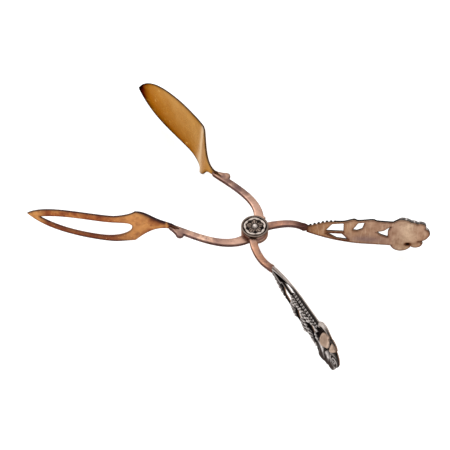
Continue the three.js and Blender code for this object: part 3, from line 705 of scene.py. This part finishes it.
def lifted(shape, outline):
    """Outline in x and z from distance past the fold and half height, with the blade's lift off its arm."""
    s, z = outline.T
    fold_lift, tip_lift = shape["lift"]
    before = fold_lift * eased(fade(s, -RISER_LENGTH, 0))
    after = fold_lift + (tip_lift - fold_lift) * s / shape["length"]
    return np.column_stack([FOLD[0] - s, z + np.where(s < 0, before, after)])


def blade_outline(shape):
    """Whole outline of a blade in x and z."""
    upper, lower = blade_edge(shape, "upper"), blade_edge(shape, "lower")
    lower = lower[-2::-1] * (1, -1)
    tang = -RISER_LENGTH - TANG_LENGTH
    neck = ARM_THICKNESS / 2 - TANG_INSET
    return lifted(shape, np.vstack([[(tang, neck)], upper, lower, [(tang, -neck)]]))


def opening_edge(turn, half):
    """One long edge of the loop's opening, from its blunt end by the fold to its point."""
    start, shoulder, widest = (LOOP_OPENING[k] for k in ("start", "shoulder", "widest"))
    end, taper = LOOP_OPENING["end"], LOOP_OPENING["taper"]
    middle, far = (widest + end) / 2, (widest + 3 * end) / 4
    return np.vstack([
        bezier(start, (start[0], turn), (shoulder, half), (widest, half), 20),
        bezier((widest, half), (middle, half), (far, taper * half), (end, 0), 30)[1:],
    ])


def loop_hole():
    """Teardrop opening of the loop, blunt at the fold and pointed towards the tip."""
    upper = opening_edge(LOOP_OPENING["high_turn"], LOOP_OPENING["half"])
    lower = opening_edge(LOOP_OPENING["low_turn"], -LOOP_OPENING["half"])
    return lifted(LOOP, np.vstack([upper, lower[-2:0:-1]]) - (0, LOOP_OPENING["drop"]))


def before_lean(shape, plan):
    """Place along the plan of the blade, before its fold is moved and leant towards the pivot."""
    x, z = plan.T
    place = x.copy()
    for _ in range(16):
        share = 1 - eased(fade(place, FOLD[0], NECK[0]))
        place = x - share * (shape["fold_shift"] - shape["fold_lean"] * z)
    return place


def blade_shading_and_wear(shape, past, height, gap, on_rim):
    """Dirt and painted shade, a tone that darkens, and a painted highlight with wear, of a blade, from the
    distance past its fold, the height and the edges.
    """
    from_arm = past + RISER_LENGTH
    along = np.clip(past / shape["length"], -0.4, 1)
    inner = (past > 0) & (past < 40) & (np.abs(height) < 6.6)
    way, start = shape["foot"]
    # Painted shade along the foot, the edge next to the table.
    foot = shape["foot_soil"] * fade(way * height, start, start + 1) * fade(past, 0, 4)
    collar = shape["collar"] * bell(from_arm, 2.6, 0.8)

    # Painted shade on the plate's edge faces, with its own share on the inner rim.
    rim = shape["rim_soil"] * on_rim * np.maximum(fade(from_arm, -TANG_LENGTH, 0), 0.4)
    rim *= np.where(inner, shape["inner_soil"], 1)
    # Darker towards the outline.
    edges = 0.4 * np.exp(-gap / 0.5)
    neck = np.where(from_arm < 0.5, 0.25, 0) + 0.4 * bell(from_arm, 0.8, 1.6)
    # Painted shade at the tip.
    tip = shape["tip_soil"] * fade(along, 0.85, 1)
    riser = shape["riser_shade"] * fade(past, 0, -5) * fade(from_arm, 0, 2) * fade(height, 0, 1)
    soil = rim + edges + neck + tip + foot * np.exp(-gap / 0.6) + riser * np.exp(-gap / 1.5)

    # Painted shade: the tone darkens towards the tip, towards the foot and with height as given.
    tone_and_shade = 0.1 + 0.62 * along * np.abs(along) + shape["tone_and_shade_rise"] * height
    tone_and_shade += 0.5 * foot * np.exp(-gap / 3)
    strip = shape["fold_highlight_width"] + 0.01 * np.clip(height + 4, 0, 24) ** 2
    # Painted highlight along the fold.
    by_fold = shape["fold_highlight"] * bell(past, 0.7, strip)
    by_tip = shape["tip_wear"] * fade(along, 0.8, 0.9)
    pale = np.max([by_fold, by_tip, collar], axis=0)
    return {"soil": np.clip(soil * (1 - collar), 0, 1), "tone_and_shade": np.clip(tone_and_shade, 0, 1), "pale": pale}


def add_blade(name, half, node, slot, material, shape, holes):
    """Thin bent plate with softened edges and a crease at the fold, soiled and worn, with painted shade and a
    painted highlight.
    """
    plan, depth, faces, gap, _ = plate(blade_outline(shape), holes, BLADE_RIM, BLADE_MESH, PLATE)
    place = before_lean(shape, plan)
    path = blade_path()[::-1]
    slope = unit(np.gradient(path, axis=0))
    centre = np.interp(place, path[:, 0], path[:, 1])
    lean_x = np.interp(place, path[:, 0], -slope[:, 1])
    lean_y = np.interp(place, path[:, 0], slope[:, 0])
    offset = depth - PLATE / 2
    points = np.column_stack([plan[:, 0] + offset * lean_x, centre + offset * lean_y, plan[:, 1]])
    shading_and_wear = blade_shading_and_wear(shape, FOLD[0] - place, plan[:, 1], gap, 1 - np.abs(offset) / (PLATE / 2))
    add_piece(name, points, faces, HALVES[half], f"{half}_half", node, slot, material, **shading_and_wear)


# Arms

def set_over(x):
    """Height by which an arm is bent towards the middle plane on its way to the handle."""
    return HANDLE_SET_OVER * eased(fade(x, HUB_RADIUS + LUG_REACH, JUNCTION[0] - JUNCTION_WIDTH))


def widths(count, end, flare):
    """Width of a bar from the pivot to its end, flared at the pivot."""
    t = np.linspace(0, 1, count)
    return ARM_WIDTH + (end - ARM_WIDTH) * t + flare * (1 - t) ** HUB_FLARE_FADE


def ended_bar(curve, heading, width, thickness, end):
    """Bar along a curve and straight on, over the distances, widths and thicknesses of its end."""
    past, end_width, end_thickness = np.array(end).T
    path = np.vstack([curve, curve[-1] + past[:, None] * heading])
    width = np.append(width, end_width)
    thickness = np.append(thickness, end_thickness)
    return bar(path, set_over(path[:, 0]), width / 2, thickness / 2)


def blade_bar():
    """Bar from the pivot to the blade, drawn down over the tang."""
    curve = bezier((0, 0), *BLADE_BOW, NECK, 60)
    width = widths(len(curve), NECK_WIDTH, HUB_FLARE)
    return ended_bar(curve, NECK_HEADING, width, np.full(len(curve), ARM_THICKNESS), NECK_END)


def handle_bar():
    """Bar from the pivot to the handle, ending in the solder between front and back."""
    curve = bezier((0, 0), *HANDLE_BOW, JUNCTION, 44)
    width = widths(len(curve), JUNCTION_WIDTH, 0)
    thickness = np.full(len(curve), ARM_THICKNESS)
    thickness[-len(JUNCTION_SWELL):] = JUNCTION_SWELL
    return ended_bar(curve, HANDLE_HEADING, width, thickness, JUNCTION_END)


def eye():
    """Round eye of an arm, its rims rounded, with the bore."""
    half = ARM_THICKNESS / 2
    corners = [(HUB_RADIUS - EYE_ROUND * (1 - math.sin(a)), half - EYE_ROUND * (1 - math.cos(a)))
               for a in np.linspace(0, math.pi / 2, 5)]
    outer = corners + [(r, -z) for r, z in corners[::-1]]
    return lathe([(BORE_RADIUS, half), *outer, (BORE_RADIUS, -half)])


def lobe():
    """Thumb-like lobe on the arm's outer edge, swelling from the neck and ending in a notch."""
    outward = np.array([-NECK_HEADING[1], NECK_HEADING[0]])
    centre = NECK - LOBE_FROM_NECK * NECK_HEADING + LOBE_STAND_OFF * outward
    root = NECK - (LOBE_FROM_NECK + LOBE_RADIUS) * NECK_HEADING
    face = math.atan2(outward[1], outward[0])
    a = np.linspace(face - math.pi / 3, face + math.pi / 2, 20)
    arc = centre + LOBE_RADIUS * np.column_stack([np.cos(a), np.sin(a)])
    outline = np.vstack([[NECK], [NECK + NECK_WIDTH / 2 * outward], arc, [root]])
    plan, depth, faces, *_ = plate(outline, [], LOBE_RIM, LOBE_MESH, ARM_THICKNESS)
    return np.column_stack([plan, depth - ARM_THICKNESS / 2]), faces


def lug():
    """Stop on the upper eye, whose tooth hangs beside the lower eye."""
    half, turned = ARM_THICKNESS / 2, LUG_ROUND
    root, heel, end = HUB_RADIUS - LUG_OVERLAP, HUB_RADIUS + LUG_HEEL, HUB_RADIUS + LUG_REACH
    foot = half + LUG_HANG
    outline = np.array([(root, -half), (end - turned, -half), (end, turned - half), (end, foot - turned),
                        (end - turned, foot), (heel, foot), (heel, half), (root, half)])
    plan, depth, faces, *_ = plate(outline, [], LUG_RIM, LUG_MESH, LUG_WIDTH)
    turn = Matrix.Rotation(math.radians(-REST_OPENING - LUG_ANGLE), 3, "Z")
    upright = np.column_stack([plan[:, 0], depth - LUG_WIDTH / 2, plan[:, 1]])
    return np.array([turn @ Vector(p) for p in upright]), faces


def add_arm(half, material):
    """One arm, worn on its faces with painted shade on its sides, darkened where it was soldered, with a
    painted shadow round the eye.
    """
    parts = [blade_bar(), handle_bar(), eye(), lobe()]
    if half == "upper":
        parts.append(lug())
    points, faces = joined(*parts)
    along = points[:, 0]
    from_neck = np.linalg.norm(points[:, :2] - NECK, axis=1)
    from_junction = np.linalg.norm(points[:, :2] - JUNCTION, axis=1)
    from_pivot = np.linalg.norm(points[:, :2], axis=1)
    solder = 0.5 * bell(from_neck, 0, 2.5) + SOLDER[half] * bell(from_junction, 0, 4.2)
    # Painted shadow in the gap round the eye.
    round_eye = EYE_SHADOW[half] * bell(from_pivot, HUB_RADIUS + 0.4, 0.5)
    copper = 0.75 * fade(along, 4, 10)
    blush = np.where(along < 0, BLUSH[half] * bell(from_pivot, 11, 9), 0)
    tarnish = TARNISH[half] * bell(from_neck, *TARNISH_PLACE[half])
    tarnish += 0.55 * fade(along, DULL_FROM[half], DULL_FROM[half] + 6)
    # Painted shade: face is 1 on the flat faces and 0 on the sides, which take the darker colour.
    rise = np.abs(points[:, 2] - set_over(along)) / (ARM_THICKNESS / 2)
    add_piece(f"{half}_arm_bar", points, faces, HALVES[half], f"{half}_half", f"{half}_arm",
              "worn_silver_plate", material, soil=np.clip(solder + round_eye, 0, 1),
              face=fade(rise, 0.6, 0.95), copper=copper, blush=blush, tarnish=tarnish)


# Handles

def teeth(s):
    """Row of small rounded teeth along the leafy edge by the arm, as a change of its height."""
    toothed = fade(s, TEETH_START, TEETH_FULL) * fade(s, TEETH_END, TEETH_WANE)
    return toothed * (TOOTH_DEPTH * np.abs(np.sin(math.pi * s / TOOTH_PITCH)) - TOOTH_CUT)


def handle_outline(inset, serrated):
    """Outline of a handle, leaves and rose together."""
    upper = spline(LEAFY_EDGE, 240) - (0, inset)
    lower = spline(PLAIN_EDGE, 60) + (0, inset)
    if serrated:
        upper[:, 1] += teeth(upper[:, 0])
    leafy = np.vstack([upper, lower])[::-1]
    rounds = [circle(x, z, r - inset) for x, z, r in (*ROSE_LOBES, ROSE_MIDDLE)]
    return union([leafy, *rounds])


def leaf(points, calm, stalk, tip, width, height):
    """Veined leaf with a saw edge, tapering from stalk to tip. calm flattens the veins."""
    along = np.subtract(tip, stalk)
    length = np.linalg.norm(along)
    along /= length
    t = (points - stalk) @ along / length
    aside = (points - stalk) @ np.array([-along[1], along[0]])
    inside = (t > 0) & (t < 1)
    taper = np.sin(math.pi * np.clip(t, 0, 1) ** 0.75) ** 0.8
    pitch = VEIN_PITCH * (0.75 + 0.5 * (1.7 * length % 1))
    saw = (t * length + 0.6 * np.abs(aside)) / pitch % 1.0
    half = width * taper * (0.75 + 0.25 * saw) + 1e-6
    body = dome(aside / half)
    sweep = 0.7 * np.abs(aside) + 0.3 * aside ** 2
    veins = 0.3 * calm * np.cos(2 * math.pi * (t * length - sweep) / pitch)
    rib = 0.35 * bell(aside, 0, 0.35)
    return np.where(inside & (body > 0), height * body * (0.8 + veins) + rib, 0)


def stem(points):
    """Rounded stem between the first leaves."""
    return STEM_HEIGHT * dome(distance(points, spline(STEM, 40)) / STEM_WIDTH)


def grains(points):
    """Rows of small grains in a strip of the ground."""
    row = np.round(points[:, 1] / GRAIN_PITCH)
    shift = 0.5 * (row % 2)
    column = np.round(points[:, 0] / GRAIN_PITCH - shift)
    centre = np.column_stack([(column + shift) * GRAIN_PITCH, row * GRAIN_PITCH])
    gap = np.linalg.norm(points - centre, axis=1)
    inside = np.all((points > GRAINS_LOW) & (points < GRAINS_HIGH), axis=1)
    return np.where(inside, GRAIN_HEIGHT * dome(gap / GRAIN_RADIUS), 0)


def rail(points):
    """Smooth rail along the plain edge, thick by the arm and thin by the rose."""
    gap = distance(points, spline(PLAIN_EDGE, 40))
    near_arm = np.exp(-points[:, 0] / 9)
    height, width = 0.12 + 0.9 * near_arm, 1.2 + 0.6 * near_arm
    return height * fade(gap, width, width - 0.3)


def petal(points, corners):
    """Where a petal lies, and how far its tilted face stands out, rounded down at its edge."""
    corners = np.array(corners)
    outline = spline(np.vstack([corners, corners[:1]])[:, :2], 12 * len(corners))
    ones = np.ones((len(corners), 1))
    tilt, *_ = np.linalg.lstsq(np.hstack([ones, corners[:, :2]]), corners[:, 2], rcond=None)
    turned_down = 0.2 * bell(distance(points, outline, closed=True), 0, 0.35)
    return within(points, [outline]), tilt[0] + points @ tilt[1:] - turned_down


def heart(points):
    """Coiled inner petals of the rose, over the petals' own height."""
    offset = (points - HEART) / HEART_STRETCH
    r = np.linalg.norm(offset, axis=1)
    coil = (r / COIL_PITCH - np.arctan2(offset[:, 1], offset[:, 0]) / (2 * math.pi)) % 1.0
    return np.where(r < HEART_RADIUS, 0.55 * bell(coil, 0.5, 0.2) - 0.25, 0)


def broad_lip(points):
    """Where the rose's outer petal is rolled over most: towards the leaves, on the plain side."""
    s, h = points.T
    return fade(s, 48, 44) * fade(h, -3, -5) * fade(s, ROSE_START, ROSE_START + LIP_RUN)


def outer_lip(points, gap):
    """Rolled edge of the rose's outer petals, fullest on the plain side."""
    s, h = points.T
    fullness = np.where(h < LIP_SIDE, np.clip((51 - s) / 6, 0.3, 0.8), 0.3)
    broad = broad_lip(points)
    place, width = 0.45 + 0.5 * broad, 0.6 + 0.6 * broad
    return fullness * fade(s, ROSE_START, ROSE_START + LIP_RUN) * dome((gap - place) / width)


def front_height(points, gap):
    """Height of the front's relief above the handle's middle plane, falling away towards every edge."""
    s, h = points.T
    calm = np.clip(gap / 1.3, 0.2, 1)
    forms = [rail(points), stem(points), grains(points)]
    forms += [leaf(points, calm, *sizes) for sizes in LEAVES]
    full = GROUND + np.max(forms, axis=0)
    for corners in (*SIDE_PETALS, *SMOOTH_PETALS):
        inside, face = petal(points, corners)
        full = np.where(inside, face, full)
    full += heart(points)
    full = np.maximum(full, GROUND + outer_lip(points, gap))
    steepest = np.where(s > ROSE_START, ROSE_SLOPE, LEAF_SLOPE)
    on_rose = fade(s, ROSE_START + 1, ROSE_START + 3) * fade(h, 0, 2)
    edge = FRONT_EDGE + (ROSE_EDGE - FRONT_EDGE) * on_rose
    return np.minimum(np.maximum(full, edge), edge + steepest * gap)


def rubbed_high_spots(heights, faces, count, rounds=16):
    """Brightness of the relief: black on the ground and in creases, bright where a point stands out."""
    triangles = np.array([f for f in faces if len(f) == 3 and max(f) < count])
    pairs = np.vstack([triangles[:, [0, 1]], triangles[:, [1, 2]], triangles[:, [2, 0]]])
    smooth = heights[:count].copy()
    for _ in range(rounds):
        total, number = np.zeros(count), np.zeros(count)
        for a, b in ((0, 1), (1, 0)):
            np.add.at(total, pairs[:, a], smooth[pairs[:, b]])
            np.add.at(number, pairs[:, a], 1)
        smooth = 0.5 * smooth + 0.5 * total / np.maximum(number, 1)
    risen = fade(heights[:count] - GROUND, 0.05, 0.45)
    return np.clip(0.1 + 0.31 * risen + 1.8 * (heights[:count] - smooth), 0, 1)


def edge_light(points):
    """How light the edge of a handle is worn: along the rail by the arm, and on the rose's plain side."""
    s, h = points.T
    gap = distance(points, spline(PLAIN_EDGE, 40))
    by_rail = fade(gap, 0.78, 0.18) * np.maximum(fade(s, 24, 15), 0.3)
    by_rose = fade(h, LIP_SIDE, LIP_SIDE - 2) * fade(s, ROSE_START - 1, ROSE_START + 0.5)
    return np.maximum(by_rail, by_rose * np.maximum(fade(s, 50, 46), 0.2))


def edge_glints(points):
    """Painted glints: bright spots here and there on the leafy side of the rose."""
    s, h = points.T
    spots = np.clip(np.sin(1.9 * s) + np.sin(3.1 * s + 1) - 0.3, 0.55, 1)
    return 0.85 * spots * fade(s, 42, 44) * fade(h, 0, 1)


def leaf_grain(points):
    """Fine bright hatching of the toothed leaf by the arm."""
    s, h = points.T
    hatching = 0.5 + 0.5 * np.cos(4 * math.pi * (s - h) / TOOTH_PITCH)
    return 0.6 * hatching * fade(s, TEETH_END, TEETH_WANE) * fade(h, 0, 1)


def add_handle_front(half, material):
    """Struck and pierced front with its relief, rubbed bright on high spots and edges, with painted glints on
    the rose's leafy edge.
    """
    outline = handle_outline(0.0, True)
    plan, depth, faces, gap, count = plate(outline, PIERCINGS, FRONT_RIM, FRONT_MESH, front_height)
    points = np.column_stack([plan[:, 0], depth, plan[:, 1]])
    reach = 1.6 + 0.8 * broad_lip(plan)
    light = edge_light(plan) * fade(gap, reach, reach - 1)
    smooth = np.any([petal(plan, corners)[0] for corners in SMOOTH_PETALS], axis=0)
    rubbed = 0.16 + 0.6 * light
    face = np.maximum(rubbed_high_spots(depth, faces, count), 0.82 * light[:count]) + 0.08 * smooth[:count]
    darkest = np.where(plan[:count, 0] > ROSE_START + 0.5, 0.3, 0)
    rubbed[:count] = np.maximum(face, darkest)
    rubbed[smooth] = np.minimum(rubbed[smooth], 0.6)
    # Painted glints along the rose's leafy edge.
    rubbed = np.maximum(rubbed, edge_glints(plan) * fade(gap, 0.65, 0.15))
    rubbed = np.maximum(rubbed, leaf_grain(plan) * fade(gap, 0, 0.4))
    bare = np.clip(smooth + 0.25 * light, 0, 1)
    add_piece(f"{half}_handle_relief", points, faces, HANDLES[half], f"{half}_half",
              f"{half}_handle_front", "blackened_silver", material, rubbed=rubbed, bare=bare)


def add_handle_back(half, material):
    """Smooth back plate, dished out behind the rose, with the piercings and the vent."""
    outline = handle_outline(BACK_INSET, False)
    holes = [*PIERCINGS, circle(*VENT)]
    plan, depth, faces, gap, count = plate(outline, holes, BACK_RIM, BACK_MESH, BACK_FAR - BACK_NEAR)
    s, h = plan.T
    from_rose = np.hypot(s - ROSE_MIDDLE[0], h - ROSE_MIDDLE[1]) / ROSE_DISH_RADIUS
    dish = ROSE_DISH * np.clip(1 - from_rose ** 2, 0, 1)
    points = np.column_stack([s, BACK_NEAR + depth - dish, h])
    on_face = np.arange(len(plan)) < 2 * count
    plain_side = fade(h, -1, -2)
    lined = RIM_SOIL[half] * plain_side * np.maximum(fade(s, 32, 22), 0.3)
    by_edge = 0.7 * np.exp(-gap / 0.45) + lined * bell(gap, 0, 0.8)
    on_rim = 0.2 + ROSE_RIM_SOIL[half] * fade(h, 0, 1) * fade(s, 40, 42)
    by_arm = 0.5 * bell(s, 1, 2.5)
    by_vent = 0.9 * bell(np.linalg.norm(plan - VENT[:2], axis=1), 0, 1.7)
    soil = np.where(on_face, by_edge, on_rim) + by_arm + by_vent
    shine = np.where(on_face, 0, RIM_SHINE[half] * plain_side * np.maximum(fade(s, 50, 46), 0.1))
    stain = 0.7 * bell(s, 29, 8) * bell(h, -6.3, 2.4)
    add_piece(f"{half}_handle_lining", points, faces, HANDLES[half], f"{half}_half",
              f"{half}_handle_back", "worn_back", material,
              soil=np.clip(soil, 0, 1), along=s / HANDLE_LENGTH, stain=stain, shine=shine)


# Pivot

def soft_step(inside):
    """Soft step from 0 to 1 at an edge, over a few tenths of a millimetre."""
    return 1 / (1 + np.exp(-inside / SOFT_STEP))


def rosette_face(r, a):
    """Height of the rosette's face, and how bright it is rubbed."""
    turn = a - math.radians(ROSETTE_TURN)
    scallop = np.abs(np.cos(ROSETTE_PETALS / 2 * turn))
    ring = soft_step(RING_OUTER + RING_SCALLOP * scallop ** 0.5 - r)
    ring *= soft_step(r - RING_INNER - RING_WAVE * np.cos(2 * ROSETTE_PETALS * turn))
    rim = soft_step(r - ROSETTE_RIM)
    petals = soft_step(PETAL_OUTER * scallop ** 0.35 - r) * soft_step(r - PETAL_INNER)
    ridges = 0.5 + 0.5 * np.cos(3 * ROSETTE_PETALS * turn)
    height = RING_HEIGHT * (ring + rim) + petals * (PETAL_HEIGHT + RIDGE_HEIGHT * ridges)
    return CAP_GROUND + height, 0.05 + 0.78 * ring + 0.36 * rim + petals * (0.16 + 0.3 * ridges)


def add_rosette(material):
    """Struck rosette washer: plain rim, scalloped ring, dark inner petals, rounded edge."""
    sides = 180
    a = np.linspace(0, 2 * math.pi, sides, endpoint=False)
    rings = [(r, *rosette_face(r, a)) for r in np.linspace(CAP_BORE, CAP_RADIUS - 0.2, 70)]
    rings += [(CAP_RADIUS - 0.04, CAP_TOP - 0.08, 0.5), (CAP_RADIUS, CAP_TOP - 0.25, 0.3),
              (CAP_RADIUS, CAP_BOTTOM + 0.2, 0.25), (CAP_RADIUS - 0.15, CAP_BOTTOM, 0.1),
              (CAP_BORE, CAP_BOTTOM, 0.1)]
    points, faces = lathe([(r, z) for r, z, _ in rings], sides)
    rubbed = np.concatenate([np.full(sides, bright) for _, _, bright in rings])
    add_piece("rosette", points, faces, Matrix(), "lower_half", "rosette_cap", "rosette_silver", material,
              rubbed=np.clip(rubbed, 0, 1), bare=0.5)


def add_pin(material):
    """Rivet: flat tail, shank, low collar and the bright bead in the middle of the rosette."""
    under = COLLAR_TOP - COLLAR_DEPTH
    bead = [(BEAD_RADIUS * math.cos(t), CAP_TOP + BEAD_RISE * math.sin(t)) for t in np.linspace(0, 1.5, 10)]
    profile = [(AXIS_RADIUS, 0), (TAIL_RADIUS - TAIL_ROUND, 0), (TAIL_RADIUS, TAIL_ROUND),
               (TAIL_RADIUS, TAIL_TOP), (SHANK_RADIUS, TAIL_TOP), (SHANK_RADIUS, under - COLLAR_SLOPE),
               (COLLAR_RADIUS, under), (COLLAR_RADIUS, COLLAR_TOP),
               (BEAD_SEAT, COLLAR_TOP + COLLAR_SLOPE), *bead]
    points, faces = lathe(profile, 48, wrap=False)
    height = points[:, 2]
    rubbed = np.where(height >= CAP_TOP, 0.85, 0.15)
    rubbed[height <= TAIL_TOP] = 0.5
    add_piece("pivot_bead", points, faces, Matrix(), "lower_half", "pivot_pin", "rosette_silver", material,
              rubbed=rubbed, bare=0.3)


def add_washer(material):
    """Plain washer under the lower eye."""
    low, high = WASHER_ROUND_LOW, WASHER_ROUND_HIGH
    profile = [(BORE_RADIUS, TAIL_TOP), (WASHER_RADIUS - low, TAIL_TOP), (WASHER_RADIUS, TAIL_TOP + low),
               (WASHER_RADIUS, WASHER_TOP - high), (WASHER_RADIUS - high, WASHER_TOP),
               (BORE_RADIUS, WASHER_TOP)]
    points, faces = lathe(profile, 64)
    add_piece("rivet_washer", points, faces, Matrix(), "lower_half", "rivet_burr", "worn_silver_plate",
              material, soil=0.25, face=0.7, copper=0, blush=0, tarnish=0)


# Stage

def add_floor():
    """Plain pale floor under the lowest point."""
    mesh = bpy.data.meshes.new("floor")
    reach, level = 3.0, cad_box[0][2] - 0.2 * MM
    corners = [(x * reach, y * reach, level) for x, y in ((-1, -1), (1, -1), (1, 1), (-1, 1))]
    mesh.from_pydata(corners, [], [(0, 1, 2, 3)])
    material = bpy.data.materials.new("floor")
    material.use_nodes = True
    shader = material.node_tree.nodes["Principled BSDF"]
    shader.inputs["Base Color"].default_value = (0.93, 0.93, 0.93, 1)
    shader.inputs["Roughness"].default_value = 0.9
    shader.inputs["Emission Color"].default_value = (1, 1, 1, 1)
    shader.inputs["Emission Strength"].default_value = FLOOR_GLOW
    mesh.materials.append(material)
    floor = add_object("floor", mesh)


def add_softbox(name, place, size, power):
    """Square area light aimed at the origin, its place and size in metres."""
    light = bpy.data.lights.new(name, "AREA")
    light.shape = "SQUARE"
    light.size = size
    light.energy = power
    lamp = add_object(name, light)
    lamp.location = place
    lamp.rotation_euler = (-Vector(place)).to_track_quat("-Z", "Y").to_euler()


def add_light():
    """Soft studio light: a surround that is brightest overhead, and two large softboxes."""
    world = bpy.data.worlds.new("studio")
    bpy.context.scene.world = world
    world.use_nodes = True
    tree = world.node_tree
    surround = tree.nodes["Background"]
    where = tree.nodes.new("ShaderNodeTexCoord")
    split = tree.nodes.new("ShaderNodeSeparateXYZ")
    tree.links.new(where.outputs["Generated"], split.inputs["Vector"])
    sky = ramp(tree, split.outputs["Z"], (0.0, 0.62), (0.35, 0.85), (0.8, 1.0))
    tree.links.new(sky, surround.inputs["Color"])
    surround.inputs["Strength"].default_value = 0.95
    add_softbox("key", (-0.5, 0.35, 0.9), size=0.8, power=3.5)
    add_softbox("fill", (0.7, -0.5, 0.8), size=0.9, power=1.5)
    bpy.context.scene.view_settings.view_transform = "Standard"


def add_camera():
    """Camera fitted to the photograph's outlines, for a square picture."""
    azimuth, elevation, reach = math.radians(6.838), math.radians(51.078), 745.06
    target = Vector((-14.15, 1.84, 3.65))
    level = math.cos(elevation)
    back = Vector((math.sin(azimuth) * level, -math.cos(azimuth) * level, math.sin(elevation)))
    data = bpy.data.cameras.new("camera")
    data.sensor_width = 36.0
    data.lens = 127.6
    camera = add_object("camera", data)
    camera.location = (target + reach * back) * MM
    camera.rotation_euler = (-back).to_track_quat("-Z", "Y").to_euler()
    bpy.context.scene.camera = camera


silver = worn_silver_plate()
back_metal = worn_back()
relief_metal = blackened_silver("blackened_silver", srgb(150, 147, 146))
rosette_metal = blackened_silver("rosette_silver", srgb(150, 140, 132))
add_blade("spatula_plate", "upper", "spatula_blade", "gilt", gilt(), SPATULA, [])
add_blade("loop_plate", "lower", "loop_blade", "copper_gilt", copper_gilt(), LOOP, [loop_hole()])
for side in HALVES:
    add_arm(side, silver)
    add_handle_front(side, relief_metal)
    add_handle_back(side, back_metal)
add_rosette(rosette_metal)
add_pin(rosette_metal)
add_washer(silver)
add_floor()
add_light()
add_camera()
